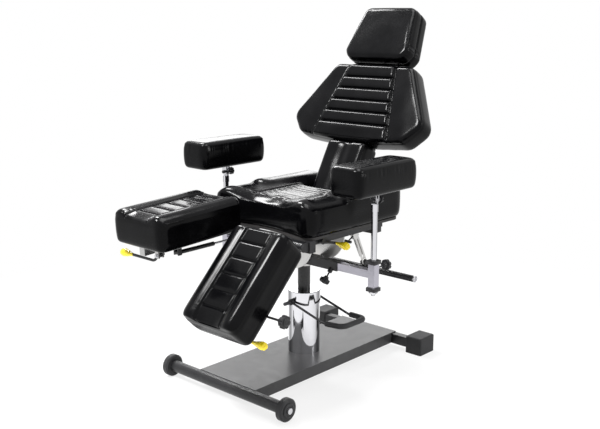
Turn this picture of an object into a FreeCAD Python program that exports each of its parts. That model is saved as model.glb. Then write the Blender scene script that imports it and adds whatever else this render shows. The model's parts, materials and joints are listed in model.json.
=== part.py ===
import FreeCAD, Part
import math
import os

V = FreeCAD.Vector

# Frame: the chair's front faces -Y, the sitter's left is +X, the floor is z = 0.
# Lengths are worked out from the column axis, and the finished chair is then set back by
# COLUMN_Y, so that the origin lies on the floor in the middle of the chair's outline.
COLUMN_Y = 34.7

# Base: a shallow steel tray between a front axle tube and a rear cross tube
TRAY_W = 291
TRAY_FRONT_Y = -419
TRAY_REAR_Y = 416
BASE_TOP = 65
TRAY_DEPTH = 44
TRAY_WALL = 4
AXLE_TUBE_R = 22
AXLE_Y = -425
AXLE_TUBE_WALL = 3
AXLE_PLUG_L = 24
WHEEL_R = 42
WHEEL_W = 30
WHEEL_X = 301
WHEEL_BOLT_R = 6
WHEEL_HEAD_R = 11
WHEEL_HEAD_T = 7
REAR_TUBE_DEEP = 30
REAR_TUBE_WALL = 2.5
FOOT_IN_X = 220
FOOT_OUT_X = 297
FOOT_FRONT_Y = 382
FOOT_L = 98
FOOT_H = 72
FOOT_ROUND = 7

# Hydraulic pump and its sliding column
PUMP_R = 65
PUMP_WALL = 2
PUMP_TOP = 317
COLLAR_H = 52
COLLAR_STEP = 2.5
PUMP_FLANGE_R = 58
PUMP_FLANGE_T = 10
PUMP_CORE_R = 44
COLUMN_R = 24.5
COLUMN_BOTTOM = 160
COLUMN_TOP = 470
RIB_PITCH = 5
RIB_DEPTH = 1.2
RIB_W = 2.4
TRUNNION_R = 7
TRUNNION_Z = 278
TRUNNION_NEAR = 112
TRUNNION_FAR = 84

# Foot pedal: a bent rod loop with a rubber grip round its end
PEDAL_ROD_R = 4.5
PEDAL_EYE_Y = 74
PEDAL_EYE_R = 12
PEDAL_EYE_W = 12
PEDAL_KNEE_X = 165
PEDAL_KNEE_Z = 231
PEDAL_END_X = 255
PEDAL_END_Z = 234
PEDAL_END_Y = 66
PEDAL_BEND_R = 28
PEDAL_GRIP_R = 10.5
PEDAL_GRIP_START_X = 178

# Column head that carries the turning seat
HEAD_SLEEVE_R = 34.5
HEAD_BOTTOM = 417
HEAD_PLATE_TOP = 550
HEAD_PLATE_T = 12
HEAD_PLATE_X = 110
HEAD_PLATE_REAR_Y = 112
CHEEK_R = 113
CHEEK_Z = 530
CHEEK_T = 6
BAR_Y = 300
BAR_R = 13
BAR_BORE_R = 10
BAR_HALF = 316
RAIL_HALF = 12
RAIL_DEPTH = 30
RAIL_FRONT_Z = 446
LUG_T = 6

# Seat frame, board and cushion
FRAME_BOTTOM = HEAD_PLATE_TOP
FRAME_H = 40
RAIL_IN_X = 150
RAIL_W = 30
RAIL_FRONT_Y = -245
RAIL_REAR_Y = 262
CROSS_W = 30
CROSS_MID_Y = -60
CROSS_BACK_Y = 60
STUB_T = 20
STUB_FRONT_Y = 205
STUB_REAR_Y = 255
BACK_LUG_X = 92
BACK_LUG_T = 8
BACK_LUG_TOP = 592
SEAT_BOARD_T = 10
SEAT_H = 112
SEAT_HALF = 260
CROSS_FRONT_HALF = SEAT_HALF - SEAT_BOARD_T
SEAT_FRONT_Y = -262
SEAT_FRONT_MID_Y = -205
SEAT_FRONT_R = 420
SEAT_REAR_Y = 298
SEAT_WAIST_HALF = 250
NOTCH_HALF = 112
NOTCH_Y = 105
SEAT_CORNER_R = 45
NOTCH_CORNER_R = 20
WING_FRONT_Y = -60
WING_H = 16
WING_IN_X = 150
SEAT_PANEL_HALF = 105
SEAT_CHANNELS = 5

# Leg rests
LEG_HINGE_Y = -265
LEG_HINGE_Z = 575
LEG_ANGLE_RIGHT = 2.9
LEG_ANGLE_LEFT = 45.3
LEG_IN_X = 21
LEG_W = 270
LEG_START = 32
LEG_L = 382.5
LEG_UNDER = 30
LEG_T = 112
LEG_CORNER_R = 30
LEG_PANEL_W = 120
LEG_CHANNELS = 5
LEG_TUBE_X = 155
LEG_TUBE_HALF = 17
LEG_TUBE_WALL = 3
LEG_TUBE_UP = 12
LEG_TUBE_START = 12
LEG_TUBE_END = 300
LEG_SLIDE_HALF = 13.7
LEG_SLIDE_WALL = 2.5
LEG_SLIDE_START = 60
LEG_SLIDE_END = 396
LEG_PAD_PLATE_START = 306
LEG_PIN_R = 8
LEG_SLEEVE_R = 13
LEG_SLEEVE_IN_X = 74
LEG_SLEEVE_OUT_X = 236
LEG_LUG_T = 8
LEG_KNOB_AT = 285
LEG_KNOB_X = 336
LEG_KNOB_R = 23
LEVER_PIVOT_X = 85
LEVER_PIVOT_UP = 8
LEVER_AT = 376
LEVER_DROP = 26
LEVER_GRIP_X = 234
LEVER_GRIP_L = 70
GRIP_R = 15

# Gas struts under the leg rests
STRUT_AT = 240
STRUT_UP = -30
STRUT_SEAT_BACK = 45
STRUT_SEAT_DOWN = 40
STRUT_BODY_R = 8
STRUT_ROD_R = 4
STRUT_BODY_L = 172
STRUT_ROD_L = 150
STRUT_EYE_R = 8
FORK_HALF = 15

# Armrests
ARM_Y = -52
ARM_Z = 461
ARM_POST_X = 382
RECEIVER_HALF = 17
RECEIVER_END_X = 224
SLIDE_HALF = 14
SLIDE_WALL = 3
SLIDE_START_X = 64
SOCKET_BOTTOM = 412
SOCKET_TOP = 500
COLLAR_HALF = 17.5
COLLAR_T = 13
POST_R = 11
POST_BOTTOM = 388
POST_TOP = 690
POST_DOME_R = 9
SPIGOT_R = 7
SPIGOT_L = 22
ARM_RIGHT_RAISED = 13
EYE_R = 13
EYE_L = 26
EYE_PIVOT_Z = 732
TONGUE_T = 8
TONGUE_HALF = 12
CLEVIS_GAP = 0.4
CLEVIS_T = 5
CLEVIS_PLATE_T = 6
CLEVIS_PLATE_X = 30
CLEVIS_PLATE_Y = 48
ARM_PAD_IN_X = 315
ARM_PAD_W = 134
ARM_PAD_FRONT_Y = -226
ARM_PAD_L = 338
ARM_PAD_Z = 763
ARM_PAD_T = 105
ARM_PAD_CORNER_R = 24
REACH_KNOB_X = 195
REACH_KNOB_R = 19
POST_KNOB_Z = 481
POST_KNOB_R = 20
POST_KNOB_Y = 16
CLEVIS_KNOB_R = 15
BOSS_L = 9
BOSS_R = 9

# Backrest, measured up and across from its hinge, square to its own leaning front
BACK_LEAN = 30
BACK_HINGE_Y = 230
BACK_HINGE_Z = 575
BACK_FRONT = 132
BACK_PAD_T = 90
BACK_BOARD_T = 8
BACK_TOP = 612
BACK_TOP_HALF = 194
BACK_WIDE = 366
BACK_WIDE_HALF = 332
BACK_LOW = 289
BACK_LOW_HALF = 264
BACK_BOTTOM = 275
BACK_BOTTOM_HALF = 95
BACK_CHANNELS = 5
BACK_SEAM_TOP_HALF = 112
BACK_SEAM_LOW_HALF = 190
LUMBAR_HALF = 95
LUMBAR_BOTTOM = 30
BRACKET_DEEP = 25.7
BRACKET_TOP = 470
BRACKET_X = 50
BRACKET_T = 8
BACK_SLEEVE_R = 16
BACK_SLEEVE_HALF = 88
BACK_PIN_R = 8
CRANK_X = 80
CRANK_R = 42
CRANK_ANGLE = 228.9
CRANK_PIN_R = 4
CRANK_PLATE_R = 10

# Recline strut: a notched bar that slides in a slotted guide
STRUT_X = 69
STRUT_BAR_T = 6
STRUT_BAR_HALF = 11
STRUT_FOOT_Y = 283.4
STRUT_FOOT_DROP = 43.5
STRUT_FOOT_UP = 29.5
GUIDE_T = 5
GUIDE_HALF = 12
GUIDE_L = 150
STRUT_FOOT_Z = BACK_HINGE_Z - GUIDE_L - STRUT_FOOT_DROP
BAR_Z = STRUT_FOOT_Z - STRUT_FOOT_UP
CLAMP_H = 22
CLAMP_HALF = 16
BAR_START = 35
BAR_EYE_SLOT = 3.6
EYE_PLAY = 0.8
T_STUD_R = 3
T_STUD_L = 34
T_BAR_R = 6
T_BAR_HALF = 16

# Headrest
HEAD_FRONT = 157
HEAD_PAD_T = 108
HEAD_OVER_BACK = 18
HEAD_PAD_H = 233
HEAD_CORNER_H = 38
HEAD_BOTTOM_HALF = 140
HEAD_WIDE_HALF = 161
HEAD_TOP_HALF = 126
HEAD_BOARD_T = 8
HEAD_POST_R = 7
HEAD_POST_X = 36
HEAD_POST_BACK = 18
HEAD_POST_START = 236
HEAD_PIVOT_H = 60
HEAD_BRIDGE_R = 12
HEAD_PIN_R = 5
HEAD_LUG_T = 7
GUIDE_BLOCK_L = 98
HEAD_BOTTOM_UP = BACK_TOP + HEAD_OVER_BACK
HEAD_WIDE_UP = HEAD_BOTTOM_UP + HEAD_CORNER_H
HEAD_TOP_UP = HEAD_BOTTOM_UP + HEAD_PAD_H
HEAD_PIVOT_UP = HEAD_BOTTOM_UP + HEAD_PIVOT_H

# Seat lever
SEAT_LEVER_Y = -110
SEAT_LEVER_Z = 560
SEAT_LEVER_R = 5
SEAT_LEVER_BOSS_R = 10
SEAT_LEVER_BOSS_L = 16
SEAT_GRIP_X = 203
SEAT_GRIP_Y = -45
SEAT_GRIP_Z = 543
SEAT_GRIP_L = 62

# Clearances: running fit of round parts, sliding fit of square parts, gap between neighbours
RUN = 0.05
SLIDE = 0.3
GAP = 0.4
OVERRUN = 20

PARTS = {}


def box(x0, x1, y0, y1, z0, z1):
    return Part.makeBox(x1 - x0, y1 - y0, z1 - z0, V(x0, y0, z0))


def rod(start, end, radius):
    return Part.makeCylinder(radius, (end - start).Length, start, end - start)


def ball(centre, radius):
    return Part.makeSphere(radius, centre)


def profile_face(points):
    return Part.Face(Part.makePolygon(points + [points[0]]))


def plate_yz(points, x0, x1):
    """Flat plate across X whose outline is given in Y and Z."""
    return profile_face([V(x0, y, z) for y, z in points]).extrude(V(x1 - x0, 0, 0))


def turned(profile):
    """Solid of revolution about Z from a list of radius and height."""
    return profile_face([V(r, 0, z) for r, z in profile]).revolve(V(0, 0, 0), V(0, 0, 1), 360)


def aim(shape, base, direction):
    """Turns a shape made along +Z to a direction and moves it to a base point."""
    result = shape.copy()
    result.Placement = FreeCAD.Placement(base, FreeCAD.Rotation(V(0, 0, 1), direction))
    return result


def mirrored(shape):
    return shape.mirror(V(0, 0, 0), V(1, 0, 0))


def side_of(shape, side):
    """The shape as drawn on the sitter's left, or its mirror image on the right."""
    return shape if side > 0 else mirrored(shape)


def tipped(shape, angle, y, z):
    """Turns a shape about the X axis and moves its origin to a hinge."""
    result = shape.copy()
    result.rotate(V(0, 0, 0), V(1, 0, 0), angle)
    result.translate(V(0, y, z))
    return result


def fused(shapes):
    return shapes[0].multiFuse(shapes[1:]).removeSplitter()


def outline(corners, inset, height):
    """Closed wire through rounded corners, drawn in by an inset.

    Corners are given anticlockwise as x, y and corner radius. A hollow corner's radius grows
    with the inset as a full corner's shrinks, so every wire has the same edges.
    """
    count = len(corners)
    edges = []
    lines = []
    for i in range(count):
        x0, y0, _ = corners[i]
        x1, y1, _ = corners[(i + 1) % count]
        length = math.hypot(x1 - x0, y1 - y0)
        nx = -(y1 - y0) / length
        ny = (x1 - x0) / length
        lines.append((x0 + nx * inset, y0 + ny * inset, (x1 - x0) / length, (y1 - y0) / length))
    points = []
    for i in range(count):
        ax, ay, adx, ady = lines[i - 1]
        bx, by, bdx, bdy = lines[i]
        cross = adx * bdy - ady * bdx
        t = ((bx - ax) * bdy - (by - ay) * bdx) / cross
        px = ax + adx * t
        py = ay + ady * t
        radius = corners[i][2] - inset if cross > 0 else corners[i][2] + inset
        radius = max(radius, corners[i][2] * SHARPEST_SHARE)
        turn = math.acos(max(-1.0, min(1.0, adx * bdx + ady * bdy)))
        reach = radius * math.tan(turn / 2)
        start = V(px - adx * reach, py - ady * reach, height)
        end = V(px + bdx * reach, py + bdy * reach, height)
        to_centre = V(bdx - adx, bdy - ady, 0).normalize()
        middle = V(px, py, height) + to_centre * (radius / math.cos(turn / 2) - radius)
        points.append((start, middle, end))
    for i in range(count):
        start, middle, end = points[i]
        edges.append(Part.Arc(start, middle, end).toShape())
        following = points[(i + 1) % count][0]
        edges.append(Part.LineSegment(end, following).toShape())
    return Part.Wire(edges)


# A corner keeps at least this share of its radius where the outline is drawn in
SHARPEST_SHARE = 0.3

# A cushion's side and crown: heights as shares of its thickness, with how far it is drawn in
# there as shares of its thickness
CUSHION_SIDE_SHARES = (
    (0.0, 0.07), (0.08, 0.02), (0.35, 0.0), (0.74, 0.0), (0.90, 0.022), (0.97, 0.065), (1.0, 0.14))


def cushion(corners, bottom, thickness):
    """Crowned cushion over an outline, with sides drawn in towards the board and the crown."""
    wires = []
    for height_share, inset_share in CUSHION_SIDE_SHARES:
        wires.append(outline(corners, inset_share * thickness, bottom + height_share * thickness))
    return Part.makeLoft(wires, True, True)


CHANNEL_R = 7
CHANNEL_DEEP = 4


def channel(start, end, top):
    """Cutter for one sewn channel along a cushion's top."""
    lift = V(0, 0, top + CHANNEL_R - CHANNEL_DEEP)
    return rod(start + lift, end + lift, CHANNEL_R)


def two_sided(half):
    """Closes a half outline, given from front to rear on +X, with its mirror image."""
    return half + [(-x, y, r) for x, y, r in reversed(half)]


def star_knob(radius, stud_r, stud_l, thickness_share=0.62, lobes=7):
    """Clamp knob along +Z: stud from the origin, neck, and a scalloped disc at its end."""
    thick = radius * thickness_share
    disc = Part.makeCylinder(radius, thick, V(0, 0, stud_l))
    scallop_r = radius * 0.22
    for i in range(lobes):
        angle = 2 * math.pi * i / lobes
        at = V(math.cos(angle), math.sin(angle), 0) * (radius * 1.08)
        disc = disc.cut(Part.makeCylinder(scallop_r, thick + stud_l + OVERRUN, at))
    neck = Part.makeCone(radius * 0.42, radius * 0.6, thick, V(0, 0, stud_l - thick))
    stud = Part.makeCylinder(stud_r, stud_l)
    return fused([disc, neck, stud])


def teardrop(length, radius):
    """Pear-shaped hand grip along +Z, narrow at the origin."""
    shares = ((0.0, 0.36), (0.2, 0.5), (0.45, 0.8), (0.68, 1.0), (0.85, 0.88), (0.96, 0.5))
    profile = [(0, 0)]
    for along_share, radius_share in shares:
        profile.append((radius * radius_share, length * along_share))
    profile.append((0, length))
    return turned(profile)


def bent_rod(points, bends, radius):
    """Round rod through points, with a bend radius at each inner point."""
    edges = []
    here = points[0]
    for i in range(1, len(points) - 1):
        before = (points[i] - points[i - 1]).normalize()
        after = (points[i + 1] - points[i]).normalize()
        turn = before.getAngle(after)
        reach = bends[i - 1] * math.tan(turn / 2)
        start = points[i] - before * reach
        end = points[i] + after * reach
        inward = (after - before).normalize()
        middle = points[i] + inward * (bends[i - 1] / math.cos(turn / 2) - bends[i - 1])
        edges.append(Part.LineSegment(here, start).toShape())
        edges.append(Part.Arc(start, middle, end).toShape())
        here = end
    edges.append(Part.LineSegment(here, points[-1]).toShape())
    path = Part.Wire(edges)
    circle = Part.Circle(points[0], points[1] - points[0], radius).toShape()
    return path.makePipeShell([Part.Wire(circle)], True, False)


# Base

def base_plate():
    half = TRAY_W / 2
    bottom = BASE_TOP - TRAY_DEPTH
    rear_tube_y = TRAY_REAR_Y - REAR_TUBE_DEEP
    tray = box(-half, half, TRAY_FRONT_Y, TRAY_REAR_Y, bottom, BASE_TOP)
    hollow = box(-half + TRAY_WALL, half - TRAY_WALL, TRAY_FRONT_Y + TRAY_WALL,
                 rear_tube_y - TRAY_WALL, bottom - OVERRUN, BASE_TOP - TRAY_WALL)
    seat_of_tube = box(-half - OVERRUN, half + OVERRUN, rear_tube_y, TRAY_REAR_Y + OVERRUN,
                       bottom - OVERRUN, BASE_TOP - TRAY_WALL)
    cope = rod(V(-half - OVERRUN, AXLE_Y, WHEEL_R), V(half + OVERRUN, AXLE_Y, WHEEL_R),
               AXLE_TUBE_R)
    return tray.cut(hollow).cut(seat_of_tube).cut(cope)


def axle_tube():
    end = WHEEL_X - WHEEL_W / 2 - 2 * GAP
    tube = rod(V(-end, AXLE_Y, WHEEL_R), V(end, AXLE_Y, WHEEL_R), AXLE_TUBE_R)
    inner = end - AXLE_PLUG_L
    bore = rod(V(-inner, AXLE_Y, WHEEL_R), V(inner, AXLE_Y, WHEEL_R),
               AXLE_TUBE_R - AXLE_TUBE_WALL)
    bolt = rod(V(-end - OVERRUN, AXLE_Y, WHEEL_R), V(end + OVERRUN, AXLE_Y, WHEEL_R),
               WHEEL_BOLT_R)
    return tube.cut(bore).cut(bolt)


def wheel():
    """Wheel on the sitter's left, turned about its bolt, with a raised hub and a tread round."""
    half = WHEEL_W / 2
    hub = WHEEL_R * 0.4
    profile = [(WHEEL_BOLT_R + RUN, -half), (hub, -half), (hub, -half + 3 * GAP),
               (WHEEL_R * 0.86, -half + 3 * GAP), (WHEEL_R, -half * 0.6), (WHEEL_R, half * 0.6),
               (WHEEL_R * 0.86, half - 3 * GAP), (hub, half - 3 * GAP), (hub, half),
               (WHEEL_BOLT_R + RUN, half)]
    return aim(turned(profile), V(WHEEL_X, AXLE_Y, WHEEL_R), V(1, 0, 0))


def wheel_bolt():
    plug_start = WHEEL_X - WHEEL_W / 2 - AXLE_PLUG_L + GAP
    face = WHEEL_X + WHEEL_W / 2 + GAP
    shank = rod(V(plug_start, AXLE_Y, WHEEL_R), V(face, AXLE_Y, WHEEL_R), WHEEL_BOLT_R)
    head = rod(V(face, AXLE_Y, WHEEL_R), V(face + WHEEL_HEAD_T, AXLE_Y, WHEEL_R), WHEEL_HEAD_R)
    return fused([shank, head])


def rear_tube_box(inset, reach):
    y0 = TRAY_REAR_Y - REAR_TUBE_DEEP
    return box(-reach, reach, y0 + inset, TRAY_REAR_Y - inset,
               BASE_TOP - TRAY_DEPTH + inset, BASE_TOP - TRAY_WALL - inset)


def rear_tube():
    end = FOOT_OUT_X - FOOT_ROUND * 2
    return rear_tube_box(0, end).cut(rear_tube_box(REAR_TUBE_WALL, end + OVERRUN))


def rear_foot():
    block = box(FOOT_IN_X, FOOT_OUT_X, FOOT_FRONT_Y, FOOT_FRONT_Y + FOOT_L, 0, FOOT_H)
    upright = [e for e in block.Edges if e.BoundBox.ZMin > 0 or e.BoundBox.ZMax > 0]
    block = block.makeFillet(FOOT_ROUND, upright)
    return block.cut(rear_tube_box(0, FOOT_OUT_X - FOOT_ROUND * 2))


# Pump

def pump_body():
    z0 = BASE_TOP
    top = PUMP_TOP - 2 * PUMP_WALL
    bore_r = COLUMN_R + RUN
    bore_z = BASE_TOP + PUMP_FLANGE_T
    profile = [(0, z0), (PUMP_FLANGE_R, z0), (PUMP_FLANGE_R, z0 + PUMP_FLANGE_T),
               (PUMP_CORE_R, z0 + PUMP_FLANGE_T), (PUMP_CORE_R, top), (bore_r, top),
               (bore_r, bore_z), (0, bore_z)]
    core = turned(profile)
    near = rod(V(0, -TRUNNION_NEAR, TRUNNION_Z), V(0, -PUMP_CORE_R + COLLAR_STEP * 2, TRUNNION_Z),
               TRUNNION_R)
    far = rod(V(0, PUMP_CORE_R - COLLAR_STEP * 2, TRUNNION_Z), V(0, TRUNNION_FAR, TRUNNION_Z),
              TRUNNION_R)
    return fused([core, near, far])


def pump_cover():
    """Chrome sleeve with a stepped collar and a lid that the column passes through."""
    outer = PUMP_R
    hole = COLUMN_R + 3 * GAP
    collar_z = PUMP_TOP - COLLAR_H
    lid = PUMP_WALL
    profile = [(outer - COLLAR_STEP, BASE_TOP), (outer - COLLAR_STEP, collar_z), (outer, collar_z),
               (outer, PUMP_TOP - lid), (outer - lid, PUMP_TOP), (hole, PUMP_TOP),
               (hole, PUMP_TOP - lid), (outer - COLLAR_STEP - PUMP_WALL, PUMP_TOP - lid),
               (outer - COLLAR_STEP - PUMP_WALL, BASE_TOP)]
    shell = turned(profile)
    slot = rod(V(0, -outer - OVERRUN, TRUNNION_Z), V(0, outer + OVERRUN, TRUNNION_Z),
               TRUNNION_R + GAP)
    return shell.cut(slot)


def pedal_points():
    return [V(0, -PEDAL_EYE_Y, TRUNNION_Z), V(PEDAL_KNEE_X, -PEDAL_EYE_Y, PEDAL_KNEE_Z),
            V(PEDAL_END_X, -PEDAL_END_Y, PEDAL_END_Z), V(PEDAL_END_X, PEDAL_END_Y, PEDAL_END_Z),
            V(PEDAL_KNEE_X, PEDAL_EYE_Y, PEDAL_KNEE_Z), V(0, PEDAL_EYE_Y, TRUNNION_Z)]


def pedal_rod():
    bends = [PEDAL_BEND_R, PEDAL_BEND_R, PEDAL_BEND_R, PEDAL_BEND_R]
    points = pedal_points()
    start = (points[1] - points[0]).normalize() * (TRUNNION_R + PEDAL_ROD_R)
    points[0] = points[0] + start
    points[-1] = V(points[0].x, -points[0].y, points[0].z)
    loop = bent_rod(points, bends, PEDAL_ROD_R)
    shapes = [loop]
    holes = []
    for y in (-PEDAL_EYE_Y, PEDAL_EYE_Y):
        a = V(0, y - PEDAL_EYE_W / 2, TRUNNION_Z)
        b = V(0, y + PEDAL_EYE_W / 2, TRUNNION_Z)
        shapes.append(rod(a, b, PEDAL_EYE_R))
        holes.append(rod(a - V(0, OVERRUN, 0), b + V(0, OVERRUN, 0), TRUNNION_R + RUN))
    pedal = fused(shapes)
    for hole in holes:
        pedal = pedal.cut(hole)
    return pedal


def pedal_grip():
    """Rubber sleeve round the end of the pedal loop."""
    points = pedal_points()
    share = (PEDAL_GRIP_START_X - PEDAL_KNEE_X) / (PEDAL_END_X - PEDAL_KNEE_X)
    near = points[1] + (points[2] - points[1]) * share
    far = points[4] + (points[3] - points[4]) * share
    path = [near, points[2], points[3], far]
    bends = [PEDAL_BEND_R, PEDAL_BEND_R]
    sleeve = bent_rod(path, bends, PEDAL_GRIP_R)
    return sleeve.cut(bent_rod(path, bends, PEDAL_ROD_R))


def lift_column():
    """Ribbed round column that rises out of the pump."""
    inner = COLUMN_R - RIB_DEPTH
    profile = [(0, COLUMN_BOTTOM), (COLUMN_R, COLUMN_BOTTOM)]
    count = int((HEAD_BOTTOM - PUMP_TOP) * 1.8 / RIB_PITCH)
    z = HEAD_BOTTOM - RIB_PITCH * (count + 1)
    for _ in range(count):
        z = z + RIB_PITCH
        profile += [(COLUMN_R, z - RIB_W), (inner, z - RIB_W), (inner, z), (COLUMN_R, z)]
    profile += [(COLUMN_R, COLUMN_TOP), (0, COLUMN_TOP)]
    return turned(profile)


# Turning head, cross bar and armrest receiver

def receiver_hole(half, x0, x1):
    return box(x0, x1, ARM_Y - half, ARM_Y + half, ARM_Z - half, ARM_Z + half)


def column_head():
    """Socket on the column, a top plate, and two half-round cheeks hanging from it."""
    plate_z = HEAD_PLATE_TOP - HEAD_PLATE_T
    cheek_front = ARM_Y - RECEIVER_HALF - CHEEK_T
    sleeve = rod(V(0, 0, HEAD_BOTTOM), V(0, 0, plate_z + HEAD_PLATE_T / 2), HEAD_SLEEVE_R)
    plate = box(-HEAD_PLATE_X, HEAD_PLATE_X, cheek_front, HEAD_PLATE_REAR_Y, plate_z, HEAD_PLATE_TOP)
    shapes = [sleeve, plate]
    below = box(-CHEEK_R, CHEEK_R, cheek_front - OVERRUN, HEAD_PLATE_REAR_Y + OVERRUN,
                HEAD_BOTTOM, plate_z)
    for y in (cheek_front, HEAD_PLATE_REAR_Y - CHEEK_T):
        disc = rod(V(0, y, CHEEK_Z), V(0, y + CHEEK_T, CHEEK_Z), CHEEK_R)
        shapes.append(disc.common(below))
    head = fused(shapes)
    bore = rod(V(0, 0, HEAD_BOTTOM - OVERRUN), V(0, 0, COLUMN_TOP + GAP), COLUMN_R + RUN)
    rail_pass = cross_rail(GAP)
    return head.cut(bore).cut(rail_pass)


def cross_rail(grow):
    """Rail from the head's socket down and back to the cross bar."""
    front = HEAD_SLEEVE_R * 0.5
    drop = RAIL_FRONT_Z - BAR_Z
    points = [(front, RAIL_FRONT_Z + RAIL_DEPTH / 2 + grow), (front, RAIL_FRONT_Z - RAIL_DEPTH / 2 - grow),
              (BAR_Y - BAR_R / 2, RAIL_FRONT_Z - drop - RAIL_DEPTH / 2 + BAR_R / 2 - grow),
              (BAR_Y + BAR_R / 2, RAIL_FRONT_Z - drop - RAIL_DEPTH / 2 + BAR_R / 2 - grow),
              (BAR_Y + BAR_R / 2, BAR_Z + BAR_R / 2 + grow)]
    rail = plate_yz(points, -RAIL_HALF - grow, RAIL_HALF + grow)
    socket = rod(V(0, 0, 0), V(0, 0, COLUMN_TOP + HEAD_PLATE_TOP), HEAD_SLEEVE_R)
    return rail.cut(socket)


def bar_tube():
    return rod(V(-BAR_HALF, BAR_Y, BAR_Z), V(BAR_HALF, BAR_Y, BAR_Z), BAR_R)


def bar_rail():
    return cross_rail(0).cut(bar_tube())


def cross_bar():
    """Round tube across the chair, open at both ends, with the strut ears and pin that it holds."""
    ear_x = STRUT_X - 2 * GAP - LUG_T
    far_x = STRUT_X + STRUT_BAR_T + GUIDE_T + 2 * GAP
    ear = [(BAR_Y - BAR_R, BAR_Z), (BAR_Y + BAR_R, BAR_Z), (STRUT_FOOT_Y + GUIDE_HALF, STRUT_FOOT_Z),
           (STRUT_FOOT_Y, STRUT_FOOT_Z + GUIDE_HALF), (STRUT_FOOT_Y - GUIDE_HALF, STRUT_FOOT_Z)]
    ears = [plate_yz(ear, ear_x, ear_x + LUG_T), plate_yz(ear, far_x, far_x + LUG_T)]
    pin = rod(V(ear_x, STRUT_FOOT_Y, STRUT_FOOT_Z), V(far_x + LUG_T, STRUT_FOOT_Y, STRUT_FOOT_Z),
              CRANK_PIN_R)
    bar = fused([bar_tube(), pin] + ears)
    bore = rod(V(-BAR_HALF - OVERRUN, BAR_Y, BAR_Z), V(BAR_HALF + OVERRUN, BAR_Y, BAR_Z), BAR_BORE_R)
    return bar.cut(bore)


def reach_axis():
    return V(0, -1, -1).normalize()


def reach_knob_base(side):
    return V(side * REACH_KNOB_X, ARM_Y - RECEIVER_HALF, ARM_Z - RECEIVER_HALF)


def arm_receiver():
    tube = receiver_hole(RECEIVER_HALF, -RECEIVER_END_X, RECEIVER_END_X)
    shapes = [tube]
    cutters = [receiver_hole(SLIDE_HALF + SLIDE / 2, -RECEIVER_END_X - OVERRUN,
                             RECEIVER_END_X + OVERRUN)]
    for side in (1, -1):
        base = reach_knob_base(side)
        boss = Part.makeCylinder(BOSS_R, BOSS_L * 2, V(0, 0, -BOSS_L))
        shapes.append(aim(boss, base, reach_axis()))
        bore = Part.makeCylinder(T_STUD_R + RUN, BOSS_L * 4, V(0, 0, -BOSS_L * 2))
        cutters.append(aim(bore, base, reach_axis()))
    receiver = fused(shapes)
    for cutter in cutters:
        receiver = receiver.cut(cutter)
    return receiver


# Seat

def seat_frame():
    """Two rails with cross members, leg hinge pins, backrest lugs and the lever's pin."""
    bottom = FRAME_BOTTOM
    top = FRAME_BOTTOM + FRAME_H
    rail_out = RAIL_IN_X + RAIL_W
    shapes = []
    for x in (RAIL_IN_X, -rail_out):
        shapes.append(box(x, x + RAIL_W, RAIL_FRONT_Y, RAIL_REAR_Y, bottom, top))
    shapes.append(box(-CROSS_FRONT_HALF, CROSS_FRONT_HALF, RAIL_FRONT_Y, RAIL_FRONT_Y + CROSS_W,
                      bottom, top))
    for y in (CROSS_MID_Y, CROSS_BACK_Y):
        shapes.append(box(-rail_out, rail_out, y, y + CROSS_W, bottom, top))
    shapes.append(rod(V(rail_out - GAP, SEAT_LEVER_Y, SEAT_LEVER_Z),
                      V(rail_out + SEAT_LEVER_BOSS_L + GAP * 2, SEAT_LEVER_Y, SEAT_LEVER_Z),
                      SEAT_LEVER_R))
    for side in (1, -1):
        shapes += [side_of(s, side) for s in leg_lugs(bottom, top)]
        shapes += [side_of(s, side) for s in back_lugs(bottom)]
    frame = fused(shapes)
    hinge = V(0, BACK_HINGE_Y, BACK_HINGE_Z)
    reach = V(BACK_LUG_X + BACK_LUG_T + OVERRUN, 0, 0)
    return frame.cut(rod(hinge - reach, hinge + reach, BACK_PIN_R))


def leg_lugs(bottom, top):
    """Ears, hinge pin and strut fork for the leg rest on the sitter's left."""
    inner = LEG_SLEEVE_IN_X - GAP - LEG_LUG_T
    outer = LEG_SLEEVE_OUT_X + GAP
    ear = [(RAIL_FRONT_Y, bottom + LEG_LUG_T), (RAIL_FRONT_Y, top),
           (LEG_HINGE_Y - LEG_SLEEVE_R / 2, LEG_HINGE_Z + LEG_SLEEVE_R),
           (LEG_HINGE_Y - LEG_SLEEVE_R, LEG_HINGE_Z), (LEG_HINGE_Y - LEG_SLEEVE_R / 2, bottom + LEG_LUG_T)]
    shapes = [plate_yz(ear, inner, inner + LEG_LUG_T), plate_yz(ear, outer, outer + LEG_LUG_T)]
    shapes.append(rod(V(inner, LEG_HINGE_Y, LEG_HINGE_Z), V(outer + LEG_LUG_T, LEG_HINGE_Y, LEG_HINGE_Z),
                      LEG_PIN_R))
    at_y = LEG_HINGE_Y + STRUT_SEAT_BACK
    at_z = LEG_HINGE_Z - STRUT_SEAT_DOWN
    for x in (LEG_TUBE_X - STRUT_EYE_R - LUG_T, LEG_TUBE_X + STRUT_EYE_R):
        shapes.append(box(x, x + LUG_T, at_y - FORK_HALF, at_y + FORK_HALF, at_z - FORK_HALF,
                          bottom))
    return shapes


def back_lugs(bottom):
    stub = box(BACK_LUG_X, RAIL_IN_X + RAIL_W, STUB_FRONT_Y, STUB_REAR_Y, bottom - STUB_T, bottom)
    lug = box(BACK_LUG_X, BACK_LUG_X + BACK_LUG_T, STUB_FRONT_Y, STUB_REAR_Y, bottom - STUB_T,
              BACK_LUG_TOP)
    return [stub, lug]


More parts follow.
